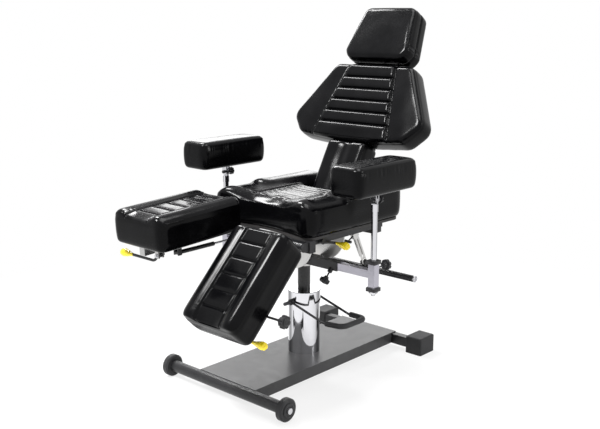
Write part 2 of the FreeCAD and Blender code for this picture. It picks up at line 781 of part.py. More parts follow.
def seat_half(inset):
    return [
        (0, SEAT_FRONT_MID_Y + inset, SEAT_FRONT_R),
        (SEAT_WAIST_HALF - inset, SEAT_FRONT_Y + inset, SEAT_CORNER_R),
        (SEAT_HALF - inset, SEAT_REAR_Y - inset, SEAT_CORNER_R),
        (NOTCH_HALF + inset, SEAT_REAR_Y - inset, NOTCH_CORNER_R),
        (NOTCH_HALF + inset, NOTCH_Y - inset, NOTCH_CORNER_R),
    ]


def seat_corners(inset):
    half = seat_half(inset)
    return half + [(-x, y, r) for x, y, r in reversed(half[1:])]


def seat_board():
    z = FRAME_BOTTOM + FRAME_H
    return Part.Face(outline(seat_corners(SEAT_BOARD_T), 0, z)).extrude(V(0, 0, SEAT_BOARD_T))


def seat_cushion():
    """Cushion with a rear cut-out for the backrest, two raised rear wings and sewn channels."""
    z = FRAME_BOTTOM + FRAME_H + SEAT_BOARD_T
    pad = cushion(seat_corners(0), z, SEAT_H)
    wing = [(WING_IN_X, WING_FRONT_Y, NOTCH_CORNER_R), (SEAT_HALF - GAP, WING_FRONT_Y, SEAT_CORNER_R),
            (SEAT_HALF - GAP, SEAT_REAR_Y - GAP, SEAT_CORNER_R),
            (NOTCH_HALF + GAP * 2, SEAT_REAR_Y - GAP, NOTCH_CORNER_R)]
    wing_base = z + SEAT_H / 2
    raised = cushion(wing, wing_base, SEAT_H / 2 + WING_H)
    pad = fused([pad, raised, mirrored(raised)])
    top = z + SEAT_H
    first = SEAT_FRONT_MID_Y + SEAT_CORNER_R * 1.5
    step = (NOTCH_Y - SEAT_CORNER_R / 2 - first) / (SEAT_CHANNELS - 1)
    cutters = []
    for i in range(SEAT_CHANNELS):
        y = first + step * i
        cutters.append(channel(V(-SEAT_PANEL_HALF, y, 0), V(SEAT_PANEL_HALF, y, 0), top))
    for x in (-SEAT_PANEL_HALF, SEAT_PANEL_HALF):
        cutters.append(channel(V(x, first - step / 2, 0), V(x, NOTCH_Y - SEAT_CORNER_R / 3, 0), top))
    for cutter in cutters:
        pad = pad.cut(cutter)
    return pad


def seat_lever():
    """Release lever: a boss on the frame's pin and a bent rod that carries the grip."""
    x0 = RAIL_IN_X + RAIL_W + GAP
    boss = rod(V(x0, SEAT_LEVER_Y, SEAT_LEVER_Z), V(x0 + SEAT_LEVER_BOSS_L, SEAT_LEVER_Y, SEAT_LEVER_Z),
               SEAT_LEVER_BOSS_R)
    mid_x = x0 + SEAT_LEVER_BOSS_L / 2
    points = [V(mid_x, SEAT_LEVER_Y + SEAT_LEVER_BOSS_R / 2, SEAT_LEVER_Z - SEAT_LEVER_BOSS_R / 2),
              V(mid_x, SEAT_GRIP_Y, SEAT_GRIP_Z), V(SEAT_GRIP_X + SEAT_LEVER_BOSS_R, SEAT_GRIP_Y, SEAT_GRIP_Z)]
    arm = bent_rod(points, [SEAT_LEVER_BOSS_R], SEAT_LEVER_R)
    lever = fused([boss, arm])
    return lever.cut(rod(V(x0 - OVERRUN, SEAT_LEVER_Y, SEAT_LEVER_Z),
                         V(x0 + SEAT_LEVER_BOSS_L + OVERRUN / 2, SEAT_LEVER_Y, SEAT_LEVER_Z),
                         SEAT_LEVER_R + RUN))


def seat_grip():
    """Pear-shaped grip pushed over the end of the seat lever."""
    grip = aim(teardrop(SEAT_GRIP_L, GRIP_R), V(SEAT_GRIP_X, SEAT_GRIP_Y, SEAT_GRIP_Z),
               V(1, 0, -SEAT_LEVER_R / SEAT_GRIP_L))
    return grip.cut(seat_lever())


# Leg rests, drawn along -Y from the hinge at the origin, then tipped down to their angle

def square_tube(half, x, up, start, end):
    return box(x - half, x + half, -end, -start, up - half, up + half)


def leg_frame():
    """Hinge sleeve, square outer tube and the strut's ears."""
    sleeve = rod(V(LEG_SLEEVE_IN_X, 0, 0), V(LEG_SLEEVE_OUT_X, 0, 0), LEG_SLEEVE_R)
    tube = square_tube(LEG_TUBE_HALF, LEG_TUBE_X, LEG_TUBE_UP, LEG_TUBE_START - LEG_SLEEVE_R / 2,
                       LEG_TUBE_END)
    shapes = [sleeve, tube]
    for x in (LEG_TUBE_X - STRUT_EYE_R - LUG_T, LEG_TUBE_X + STRUT_EYE_R):
        shapes.append(box(x, x + LUG_T, -STRUT_AT - STRUT_EYE_R, -STRUT_AT + STRUT_EYE_R,
                          STRUT_UP - STRUT_EYE_R, LEG_TUBE_UP - LEG_TUBE_HALF))
    side = LEG_TUBE_X + LEG_TUBE_HALF
    shapes.append(rod(V(side - GAP, -LEG_KNOB_AT, LEG_TUBE_UP), V(side + BOSS_L, -LEG_KNOB_AT, LEG_TUBE_UP),
                      BOSS_R))
    pin_in = LEG_TUBE_X - STRUT_EYE_R - LUG_T
    shapes.append(rod(V(pin_in, -STRUT_AT, STRUT_UP), V(pin_in + 2 * (STRUT_EYE_R + LUG_T), -STRUT_AT, STRUT_UP),
                      STRUT_ROD_R))
    frame = fused(shapes)
    frame = frame.cut(square_tube(LEG_SLIDE_HALF + SLIDE / 2, LEG_TUBE_X, LEG_TUBE_UP,
                                  LEG_TUBE_START + LEG_SLEEVE_R, LEG_TUBE_END + OVERRUN))
    frame = frame.cut(rod(V(LEG_SLEEVE_IN_X - OVERRUN, 0, 0), V(LEG_SLEEVE_OUT_X + OVERRUN, 0, 0),
                          LEG_PIN_R + RUN))
    return frame.cut(rod(V(side - LEG_TUBE_WALL - GAP, -LEG_KNOB_AT, LEG_TUBE_UP),
                         V(side + OVERRUN, -LEG_KNOB_AT, LEG_TUBE_UP), STRUT_ROD_R + RUN))


def leg_slide():
    """Sliding inner tube with the pad plate and the lever's bracket at its foot end."""
    tube = square_tube(LEG_SLIDE_HALF, LEG_TUBE_X, LEG_TUBE_UP, LEG_SLIDE_START, LEG_SLIDE_END)
    hollow = square_tube(LEG_SLIDE_HALF - LEG_SLIDE_WALL, LEG_TUBE_X, LEG_TUBE_UP,
                         LEG_SLIDE_START - OVERRUN, LEG_SLIDE_END - LEG_SLIDE_WALL)
    plate = box(LEVER_PIVOT_X - LUG_T * 2, LEG_TUBE_X + LEG_TUBE_HALF * 3, -LEG_SLIDE_END,
                -LEG_PAD_PLATE_START, LEG_TUBE_UP + LEG_SLIDE_HALF - GAP / 2, LEG_UNDER)
    ears = []
    for at in (LEVER_AT - 2 * LUG_T, LEVER_AT + LUG_T):
        ears.append(box(LEVER_PIVOT_X - LUG_T * 1.5, LEVER_PIVOT_X + LUG_T * 1.5, -at - LUG_T, -at,
                        LEVER_PIVOT_UP - LUG_T * 1.5, LEG_UNDER))
    pin = rod(V(LEVER_PIVOT_X, -LEVER_AT - 2 * LUG_T, LEVER_PIVOT_UP),
              V(LEVER_PIVOT_X, -LEVER_AT + 2 * LUG_T, LEVER_PIVOT_UP), STRUT_ROD_R)
    return fused([tube.cut(hollow), plate, pin] + ears)


def leg_cushion():
    """Crowned pad with two lengthwise seams and cross channels between them."""
    inner = LEG_IN_X
    outer = LEG_IN_X + LEG_W
    foot = -(LEG_START + LEG_L)
    corners = [(inner, foot, LEG_CORNER_R), (outer, foot, LEG_CORNER_R),
               (outer, -LEG_START, LEG_CORNER_R), (inner, -LEG_START, LEG_CORNER_R)]
    pad = cushion(corners, LEG_UNDER, LEG_T)
    top = LEG_UNDER + LEG_T
    middle = LEG_IN_X + LEG_W / 2
    left = middle - LEG_PANEL_W / 2
    right = middle + LEG_PANEL_W / 2
    step = LEG_L / (LEG_CHANNELS + 1)
    cutters = []
    for i in range(LEG_CHANNELS):
        y = -LEG_START - step * (i + 1)
        cutters.append(channel(V(left, y, 0), V(right, y, 0), top))
    for x in (left, right):
        cutters.append(channel(V(x, foot + LEG_CORNER_R, 0), V(x, -LEG_START - LEG_CORNER_R, 0), top))
    for cutter in cutters:
        pad = pad.cut(cutter)
    return pad


def leg_lever():
    """Squeeze lever under the foot end: an eye on its pin and a dropped arm."""
    eye = rod(V(LEVER_PIVOT_X, -LEVER_AT - LUG_T + GAP, LEVER_PIVOT_UP),
              V(LEVER_PIVOT_X, -LEVER_AT + LUG_T - GAP, LEVER_PIVOT_UP), LUG_T * 1.4)
    low = LEVER_PIVOT_UP - LEVER_DROP
    points = [V(LEVER_PIVOT_X + LUG_T, -LEVER_AT, LEVER_PIVOT_UP - LUG_T / 2),
              V(LEVER_PIVOT_X + LEVER_DROP + LUG_T, -LEVER_AT, low),
              V(LEVER_GRIP_X + LUG_T, -LEVER_AT, low)]
    arm = bent_rod(points, [LEVER_DROP], SEAT_LEVER_R)
    lever = fused([eye, arm])
    return lever.cut(rod(V(LEVER_PIVOT_X, -LEVER_AT - OVERRUN, LEVER_PIVOT_UP),
                         V(LEVER_PIVOT_X, -LEVER_AT + OVERRUN, LEVER_PIVOT_UP), STRUT_ROD_R + RUN))


def leg_grip():
    """Pear-shaped grip pushed over the end of the leg lever."""
    start = V(LEVER_GRIP_X, -LEVER_AT, LEVER_PIVOT_UP - LEVER_DROP)
    return aim(teardrop(LEVER_GRIP_L, GRIP_R), start, V(1, 0, 0)).cut(leg_lever())


def leg_knob():
    start = LEG_TUBE_X + LEG_SLIDE_HALF + SLIDE
    knob = star_knob(LEG_KNOB_R, STRUT_ROD_R, LEG_KNOB_X - start)
    return aim(knob, V(start, -LEG_KNOB_AT, LEG_TUBE_UP), V(1, 0, 0))


def strut_ends(angle):
    """The strut's ends in the leg rest's own frame, for a leg rest tipped down by an angle."""
    rad = math.radians(angle)
    back = STRUT_SEAT_BACK
    down = -STRUT_SEAT_DOWN
    seat_y = back * math.cos(rad) + down * math.sin(rad)
    seat_z = -back * math.sin(rad) + down * math.cos(rad)
    return V(LEG_TUBE_X, -STRUT_AT, STRUT_UP), V(LEG_TUBE_X, seat_y, seat_z)


def leg_strut(angle):
    """Gas strut body, with its eye on the leg rest's ears."""
    foot, seat = strut_ends(angle)
    along = (seat - foot).normalize()
    body = rod(foot + along * STRUT_EYE_R * 0.6, foot + along * STRUT_BODY_L, STRUT_BODY_R)
    body = body.cut(rod(foot + along * STRUT_EYE_R * 3, foot + along * (STRUT_BODY_L + OVERRUN),
                        STRUT_ROD_R + RUN))
    half = V(STRUT_EYE_R - GAP, 0, 0)
    eye = rod(foot - half, foot + half, STRUT_EYE_R)
    strut = fused([body, eye])
    hole = V(STRUT_EYE_R + OVERRUN, 0, 0)
    return strut.cut(rod(foot - hole, foot + hole, STRUT_ROD_R + RUN))


def leg_strut_rod(angle):
    """Strut rod whose flat eye floats between the cheeks of the seat frame's fork."""
    foot, seat = strut_ends(angle)
    along = (seat - foot).normalize()
    shaft = rod(seat - along * STRUT_ROD_L, seat - along * STRUT_EYE_R / 2, STRUT_ROD_R)
    half = V(STRUT_EYE_R / 2, 0, 0)
    return fused([shaft, rod(seat - half, seat + half, STRUT_EYE_R * 0.8)])


# Armrests, drawn on the sitter's left

def post_hole(radius):
    return rod(V(ARM_POST_X, ARM_Y, SOCKET_BOTTOM - COLLAR_T - OVERRUN),
               V(ARM_POST_X, ARM_Y, SOCKET_TOP + COLLAR_T + OVERRUN), radius)


def arm_slide():
    """Square tube that slides out of the receiver, with the post's socket and its two collars."""
    end = ARM_POST_X - SLIDE_HALF
    tube = receiver_hole(SLIDE_HALF, SLIDE_START_X, end)
    hollow = receiver_hole(SLIDE_HALF - SLIDE_WALL, SLIDE_START_X - OVERRUN, end)
    shapes = [tube.cut(hollow)]
    shapes.append(box(end, ARM_POST_X + SLIDE_HALF, ARM_Y - SLIDE_HALF, ARM_Y + SLIDE_HALF,
                      SOCKET_BOTTOM, SOCKET_TOP))
    for z in (SOCKET_BOTTOM - COLLAR_T, SOCKET_TOP):
        shapes.append(box(ARM_POST_X - COLLAR_HALF, ARM_POST_X + COLLAR_HALF, ARM_Y - COLLAR_HALF,
                          ARM_Y + COLLAR_HALF, z, z + COLLAR_T))
    face = ARM_Y + SLIDE_HALF
    shapes.append(rod(V(ARM_POST_X, face - GAP, POST_KNOB_Z), V(ARM_POST_X, face + BOSS_L, POST_KNOB_Z),
                      BOSS_R))
    slide = fused(shapes).cut(post_hole(POST_R + RUN))
    return slide.cut(rod(V(ARM_POST_X, ARM_Y + POST_R, POST_KNOB_Z),
                         V(ARM_POST_X, face + BOSS_L + OVERRUN, POST_KNOB_Z), T_STUD_R + RUN))


def arm_post():
    """Round post with a domed foot and a spigot on top."""
    shaft = rod(V(ARM_POST_X, ARM_Y, POST_BOTTOM), V(ARM_POST_X, ARM_Y, POST_TOP), POST_R)
    dome = ball(V(ARM_POST_X, ARM_Y, POST_BOTTOM), POST_DOME_R)
    spigot = rod(V(ARM_POST_X, ARM_Y, POST_TOP), V(ARM_POST_X, ARM_Y, POST_TOP + SPIGOT_L), SPIGOT_R)
    return fused([shaft, dome, spigot])


def arm_eye():
    """Turning head on the post, with a flat tongue for the tilt bolt."""
    z0 = POST_TOP + GAP
    head = rod(V(ARM_POST_X, ARM_Y, z0), V(ARM_POST_X, ARM_Y, z0 + EYE_L), EYE_R)
    tongue = box(ARM_POST_X - TONGUE_HALF, ARM_POST_X + TONGUE_HALF, ARM_Y - TONGUE_T / 2,
                 ARM_Y + TONGUE_T / 2, z0 + EYE_L - GAP, EYE_PIVOT_Z)
    round_end = rod(V(ARM_POST_X, ARM_Y - TONGUE_T / 2, EYE_PIVOT_Z),
                    V(ARM_POST_X, ARM_Y + TONGUE_T / 2, EYE_PIVOT_Z), TONGUE_HALF)
    eye = fused([head, tongue, round_end])
    eye = eye.cut(rod(V(ARM_POST_X, ARM_Y, z0 - OVERRUN), V(ARM_POST_X, ARM_Y, POST_TOP + SPIGOT_L + GAP),
                      SPIGOT_R + RUN))
    return eye.cut(bolt_line(T_STUD_R + RUN))


def bolt_line(radius):
    return rod(V(ARM_POST_X, ARM_Y - CLEVIS_PLATE_Y, EYE_PIVOT_Z),
               V(ARM_POST_X, ARM_Y + CLEVIS_PLATE_Y, EYE_PIVOT_Z), radius)


def arm_clevis():
    """Fork under the arm pad, screwed to its board."""
    top = ARM_PAD_Z
    plate = box(ARM_POST_X - CLEVIS_PLATE_X, ARM_POST_X + CLEVIS_PLATE_X, ARM_Y - CLEVIS_PLATE_Y,
                ARM_Y + CLEVIS_PLATE_Y, top - CLEVIS_PLATE_T, top)
    shapes = [plate]
    start = TONGUE_T / 2 + CLEVIS_GAP
    for y in (ARM_Y + start, ARM_Y - start - CLEVIS_T):
        shapes.append(box(ARM_POST_X - TONGUE_HALF, ARM_POST_X + TONGUE_HALF, y, y + CLEVIS_T,
                          EYE_PIVOT_Z, top - CLEVIS_PLATE_T))
        shapes.append(rod(V(ARM_POST_X, y, EYE_PIVOT_Z), V(ARM_POST_X, y + CLEVIS_T, EYE_PIVOT_Z),
                          TONGUE_HALF))
    return fused(shapes).cut(bolt_line(T_STUD_R + RUN))


def arm_pad():
    x1 = ARM_PAD_IN_X + ARM_PAD_W
    y1 = ARM_PAD_FRONT_Y + ARM_PAD_L
    corners = [(ARM_PAD_IN_X, ARM_PAD_FRONT_Y, ARM_PAD_CORNER_R), (x1, ARM_PAD_FRONT_Y, ARM_PAD_CORNER_R),
               (x1, y1, ARM_PAD_CORNER_R), (ARM_PAD_IN_X, y1, ARM_PAD_CORNER_R)]
    return cushion(corners, ARM_PAD_Z, ARM_PAD_T)


def reach_knob():
    gap = RECEIVER_HALF - SLIDE_HALF
    start = reach_knob_base(1) - reach_axis() * (gap * math.sqrt(2) - GAP)
    knob = star_knob(REACH_KNOB_R, T_STUD_R, BOSS_L * 5)
    return aim(knob, start, reach_axis())


def post_knob():
    start = ARM_Y + POST_R + GAP
    knob = star_knob(POST_KNOB_R, T_STUD_R, POST_KNOB_Y - start)
    return aim(knob, V(ARM_POST_X, start, POST_KNOB_Z), V(0, 1, 0))


def clevis_knob():
    """Tilt bolt with a small head at one end and a knob at the other."""
    reach = TONGUE_T / 2 + CLEVIS_GAP + CLEVIS_T
    start = ARM_Y - reach - CLEVIS_T - GAP
    bolt = aim(star_knob(CLEVIS_KNOB_R, T_STUD_R, 2 * reach + CLEVIS_KNOB_R + CLEVIS_T),
               V(ARM_POST_X, start, EYE_PIVOT_Z), V(0, 1, 0))
    head = rod(V(ARM_POST_X, start - CLEVIS_T / 2, EYE_PIVOT_Z),
               V(ARM_POST_X, start + CLEVIS_T, EYE_PIVOT_Z), T_STUD_R * 2)
    return fused([bolt, head])


# Backrest, drawn upright with its hinge at the origin, then leaned back

def back_cushion():
    """Winged cushion with converging seams and cross channels, drawn flat and then stood up."""
    corners = two_sided([
        (BACK_BOTTOM_HALF, BACK_BOTTOM, NOTCH_CORNER_R),
        (BACK_LOW_HALF, BACK_LOW, SEAT_CORNER_R),
        (BACK_WIDE_HALF, BACK_WIDE, SEAT_CORNER_R),
        (BACK_TOP_HALF, BACK_TOP, LEG_CORNER_R)])
    pad = cushion(corners, 0, BACK_PAD_T)
    step = (BACK_TOP - BACK_BOTTOM) / (BACK_CHANNELS + 1)
    cutters = []
    rise = BACK_TOP - BACK_BOTTOM
    for i in range(BACK_CHANNELS):
        up = BACK_BOTTOM + step * (i + 1)
        share = (up - BACK_BOTTOM) / rise
        half = BACK_SEAM_LOW_HALF + (BACK_SEAM_TOP_HALF - BACK_SEAM_LOW_HALF) * share
        cutters.append(channel(V(-half, up, 0), V(half, up, 0), BACK_PAD_T))
    for side in (1, -1):
        low = V(side * BACK_SEAM_LOW_HALF, BACK_BOTTOM + SEAT_CORNER_R, 0)
        high = V(side * BACK_SEAM_TOP_HALF, BACK_TOP - LEG_CORNER_R, 0)
        cutters.append(channel(low, high, BACK_PAD_T))
    for cutter in cutters:
        pad = pad.cut(cutter)
    return stood_up(pad, -BACK_FRONT + BACK_PAD_T)


def stood_up(pad, back_y):
    """Stands a flat-drawn cushion up: its thickness runs forward from a rear face."""
    result = pad.copy()
    result.rotate(V(0, 0, 0), V(1, 0, 0), 90)
    result.translate(V(0, back_y, 0))
    return result


def back_board():
    margin = BACK_BOARD_T * 2
    corners = two_sided([
        (BACK_BOTTOM_HALF, BACK_BOTTOM, NOTCH_CORNER_R),
        (BACK_LOW_HALF, BACK_LOW, SEAT_CORNER_R),
        (BACK_WIDE_HALF, BACK_WIDE, SEAT_CORNER_R),
        (BACK_TOP_HALF, BACK_TOP, LEG_CORNER_R)])
    board = Part.Face(outline(corners, margin, 0)).extrude(V(0, 0, BACK_BOARD_T))
    return stood_up(board, -BACK_FRONT + BACK_PAD_T + BACK_BOARD_T)


def lumbar_pad():
    """Narrow pad that joins the backrest to the hinge."""
    top = BACK_BOTTOM - GAP * 2
    corners = [(-LUMBAR_HALF, LUMBAR_BOTTOM, NOTCH_CORNER_R), (LUMBAR_HALF, LUMBAR_BOTTOM, NOTCH_CORNER_R),
               (LUMBAR_HALF, top, NOTCH_CORNER_R / 4), (-LUMBAR_HALF, top, NOTCH_CORNER_R / 4)]
    thickness = BACK_PAD_T + BACK_BOARD_T
    return stood_up(cushion(corners, 0, thickness), -BACK_FRONT + thickness)


def back_bracket():
    """Hinge sleeve, two side plates up the rear, cross plates, post guides and the strut's crank."""
    front = -BACK_FRONT + BACK_PAD_T + BACK_BOARD_T
    rear = front + BRACKET_DEEP
    side = [(front, LUMBAR_BOTTOM), (-BACK_SLEEVE_R * 0.8, -BACK_SLEEVE_R * 0.7),
            (BACK_SLEEVE_R * 0.7, -BACK_SLEEVE_R * 0.4), (BACK_SLEEVE_R * 0.8, BACK_SLEEVE_R * 0.5),
            (rear, LUMBAR_BOTTOM * 2), (rear, BRACKET_TOP), (front, BRACKET_TOP)]
    shapes = [rod(V(-BACK_SLEEVE_HALF, 0, 0), V(BACK_SLEEVE_HALF, 0, 0), BACK_SLEEVE_R)]
    for x in (BRACKET_X, -BRACKET_X - BRACKET_T):
        shapes.append(plate_yz(side, x, x + BRACKET_T))
    width = BRACKET_X + BRACKET_T
    plate_h = BRACKET_T * 4
    for z in (LUMBAR_BOTTOM * 3, BACK_BOTTOM + plate_h / 2, BRACKET_TOP - plate_h):
        shapes.append(box(-width, width, front, front + BRACKET_T * 0.7, z, z + plate_h))
    block = HEAD_POST_R + CLEVIS_T
    for x in (HEAD_POST_X, -HEAD_POST_X):
        shapes.append(box(x - block, x + block, front + GAP, -HEAD_POST_BACK + block,
                          BRACKET_TOP - GUIDE_BLOCK_L, BRACKET_TOP))
    along = crank_point(BACK_LEAN)
    across = V(0, -along.z, along.y).normalize() * CRANK_PLATE_R
    crank = [(across.y, across.z), (along.y + across.y, along.z + across.z),
             (along.y - across.y, along.z - across.z), (-across.y, -across.z)]
    shapes.append(plate_yz(crank, CRANK_X, CRANK_X + BRACKET_T))
    outer = along + V(CRANK_X + BRACKET_T, 0, 0)
    shapes.append(rod(along + V(CRANK_X, 0, 0), outer, CRANK_PLATE_R))
    shapes.append(rod(along + V(STRUT_X - GAP * 4, 0, 0), outer, CRANK_PIN_R))
    bracket = fused(shapes)
    for x in (HEAD_POST_X, -HEAD_POST_X):
        bracket = bracket.cut(rod(V(x, -HEAD_POST_BACK, HEAD_POST_START - OVERRUN),
                                  V(x, -HEAD_POST_BACK, BRACKET_TOP + OVERRUN), HEAD_POST_R + RUN))
    return bracket.cut(rod(V(-BACK_SLEEVE_HALF - OVERRUN, 0, 0), V(BACK_SLEEVE_HALF + OVERRUN, 0, 0),
                           BACK_PIN_R + RUN))


def crank_point(lean):
    """Crank pin from the hinge, in the backrest's own frame for a lean, or in the chair's for 0."""
    angle = math.radians(CRANK_ANGLE + lean)
    return V(0, CRANK_R * math.cos(angle), CRANK_R * math.sin(angle))


def back_hinge_pin():
    reach = BACK_LUG_X + BACK_LUG_T
    return rod(V(-reach, BACK_HINGE_Y, BACK_HINGE_Z), V(reach, BACK_HINGE_Y, BACK_HINGE_Z), BACK_PIN_R)


# Recline strut, drawn up from its foot pin, then leaned to the crank

def strut_line():
    pin = crank_point(0) + V(0, BACK_HINGE_Y, BACK_HINGE_Z)
    rise = pin - V(0, STRUT_FOOT_Y, STRUT_FOOT_Z)
    return rise.Length, math.degrees(math.atan2(-rise.y, rise.z))


def strut_guide():
    """Slotted flat guide on the foot pin, with a clamp box at its top."""
    x0 = STRUT_X + STRUT_BAR_T + SLIDE
    x1 = x0 + GUIDE_T
    plate = box(x0, x1, -GUIDE_HALF, GUIDE_HALF, 0, GUIDE_L)
    eye = rod(V(x0, 0, 0), V(x1, 0, 0), GUIDE_HALF)
    slot = box(x0 - OVERRUN, x1 + OVERRUN, -GUIDE_HALF / 3, GUIDE_HALF / 3, GUIDE_HALF * 1.6,
               GUIDE_L - CLAMP_H * 1.4)
    clamp = box(STRUT_X - GUIDE_T, x1 + GAP, -CLAMP_HALF, CLAMP_HALF, GUIDE_L - CLAMP_H, GUIDE_L)
    way = box(STRUT_X - SLIDE, STRUT_X + STRUT_BAR_T + SLIDE, -STRUT_BAR_HALF - SLIDE,
              STRUT_BAR_HALF + SLIDE, 0, GUIDE_L + OVERRUN)
    guide = fused([plate, eye, clamp]).cut(slot).cut(way)
    middle = V(STRUT_X + STRUT_BAR_T / 2, 0, GUIDE_L - CLAMP_H / 2)
    guide = guide.cut(rod(middle - V(0, STRUT_BAR_HALF, 0), middle - V(0, CLAMP_HALF + OVERRUN, 0),
                          T_STUD_R + RUN))
    return guide.cut(rod(V(x0 - OVERRUN, 0, 0), V(x1 + OVERRUN, 0, 0), CRANK_PIN_R + RUN))


def strut_bar():
    """Flat bar with notches down its front edge and a slotted eye round the crank pin."""
    length, _ = strut_line()
    x1 = STRUT_X + STRUT_BAR_T
    head = STRUT_BAR_HALF * 1.6
    bar = box(STRUT_X, x1, -STRUT_BAR_HALF, STRUT_BAR_HALF, BAR_START, length)
    top = box(STRUT_X, x1, -head, head, length - STRUT_BAR_HALF, length + STRUT_BAR_HALF)
    bar = fused([bar, top])
    notches = 6
    pitch = CLAMP_H / 2
    for i in range(notches):
        z = length - STRUT_BAR_HALF - pitch - CRANK_PIN_R - pitch * i / 2
        bar = bar.cut(rod(V(STRUT_X - OVERRUN, -STRUT_BAR_HALF, z), V(x1 + OVERRUN, -STRUT_BAR_HALF, z),
                          CRANK_PIN_R / 3))
    hole_r = CRANK_PIN_R + EYE_PLAY
    slot = box(STRUT_X - OVERRUN, x1 + OVERRUN, -BAR_EYE_SLOT, BAR_EYE_SLOT, length - hole_r,
               length + hole_r)
    for y in (-BAR_EYE_SLOT, BAR_EYE_SLOT):
        slot = slot.fuse(rod(V(STRUT_X - OVERRUN, y, length), V(x1 + OVERRUN, y, length), hole_r))
    return bar.cut(slot)


def strut_handle():
    """T-screw that clamps the bar."""
    x = STRUT_X + STRUT_BAR_T / 2
    z = GUIDE_L - CLAMP_H / 2
    start = -STRUT_BAR_HALF - SLIDE - GAP
    stud = rod(V(x, start, z), V(x, start - T_STUD_L, z), T_STUD_R)
    bar = rod(V(x - T_BAR_HALF, start - T_STUD_L, z), V(x + T_BAR_HALF, start - T_STUD_L, z), T_BAR_R)
    return fused([stud, bar])


# Headrest, in the backrest's own frame

def head_posts():
    """Two round posts joined by a bridge that carries the tilt pin."""
    y = -HEAD_POST_BACK
    bridge_half = HEAD_POST_X + HEAD_POST_R * 2
    shapes = [rod(V(-bridge_half, y, HEAD_PIVOT_UP), V(bridge_half, y, HEAD_PIVOT_UP), HEAD_BRIDGE_R)]
    for x in (HEAD_POST_X, -HEAD_POST_X):
        shapes.append(rod(V(x, y, HEAD_POST_START), V(x, y, HEAD_PIVOT_UP), HEAD_POST_R))
    pin = bridge_half + HEAD_LUG_T + GAP * 2
    shapes.append(rod(V(-pin, y, HEAD_PIVOT_UP), V(pin, y, HEAD_PIVOT_UP), HEAD_PIN_R))
    return fused(shapes)


def head_board():
    """Board behind the headrest with two ears on the tilt pin."""
    back = -HEAD_FRONT + HEAD_PAD_T
    bridge_half = HEAD_POST_X + HEAD_POST_R * 2
    low = HEAD_PIVOT_UP + HEAD_BRIDGE_R
    high = HEAD_TOP_UP - HEAD_BRIDGE_R * 2
    half = HEAD_TOP_HALF - HEAD_BRIDGE_R * 2
    shapes = [box(-half, half, back, back + HEAD_BOARD_T, low, high)]
    y = -HEAD_POST_BACK
    ear = [(back, low), (back, high - HEAD_LUG_T * 8), (y + HEAD_BRIDGE_R * 0.5, low),
           (y + HEAD_BRIDGE_R, HEAD_PIVOT_UP), (y, HEAD_PIVOT_UP - HEAD_BRIDGE_R),
           (y - HEAD_BRIDGE_R, HEAD_PIVOT_UP)]
    for x in (bridge_half + GAP, -bridge_half - GAP - HEAD_LUG_T):
        shapes.append(plate_yz(ear, x, x + HEAD_LUG_T))
    board = fused(shapes)
    reach = bridge_half + HEAD_LUG_T + OVERRUN
    return board.cut(rod(V(-reach, y, HEAD_PIVOT_UP), V(reach, y, HEAD_PIVOT_UP), HEAD_PIN_R + RUN))


def head_cushion():
    corners = two_sided([
        (HEAD_BOTTOM_HALF, HEAD_BOTTOM_UP, LEG_CORNER_R),
        (HEAD_WIDE_HALF, HEAD_WIDE_UP, NOTCH_CORNER_R),
        (HEAD_TOP_HALF, HEAD_TOP_UP, LEG_CORNER_R)])
    return stood_up(cushion(corners, 0, HEAD_PAD_T), -HEAD_FRONT + HEAD_PAD_T)


def build_base():
    PARTS["base_plate"] = base_plate()
    PARTS["axle_tube"] = axle_tube()
    PARTS["rear_tube"] = rear_tube()
    foot = rear_foot()
    PARTS["rear_feet"] = Part.Compound([foot, mirrored(foot)])
    PARTS["wheel_left"] = wheel()
    PARTS["wheel_right"] = mirrored(wheel())
    bolt = wheel_bolt()
    PARTS["wheel_bolts"] = Part.Compound([bolt, mirrored(bolt)])
    PARTS["pump_body"] = pump_body()
    PARTS["pump_cover"] = pump_cover()
    PARTS["pedal_rod"] = pedal_rod()
    PARTS["pedal_grip"] = pedal_grip()
    PARTS["lift_column"] = lift_column()


def build_seat():
    PARTS["column_head"] = column_head()
    PARTS["bar_rail"] = bar_rail()
    PARTS["cross_bar"] = cross_bar()
    PARTS["arm_receiver"] = arm_receiver()
    PARTS["seat_frame"] = seat_frame()
    PARTS["seat_board"] = seat_board()
    PARTS["seat_cushion"] = seat_cushion()
    PARTS["seat_lever"] = seat_lever()
    PARTS["seat_grip"] = seat_grip()


def build_back():
    leaning = {"back_bracket": back_bracket, "back_board": back_board, "back_cushion": back_cushion,
               "lumbar_pad": lumbar_pad, "head_posts": head_posts, "head_board": head_board,
               "head_cushion": head_cushion}
    for name, make in leaning.items():
        PARTS[name] = tipped(make(), -BACK_LEAN, BACK_HINGE_Y, BACK_HINGE_Z)
    PARTS["back_hinge_pin"] = back_hinge_pin()
    _, lean = strut_line()
    for name, make in (("strut_guide", strut_guide), ("strut_bar", strut_bar),
                       ("strut_handle", strut_handle)):
        PARTS[name] = tipped(make(), lean, STRUT_FOOT_Y, STRUT_FOOT_Z)


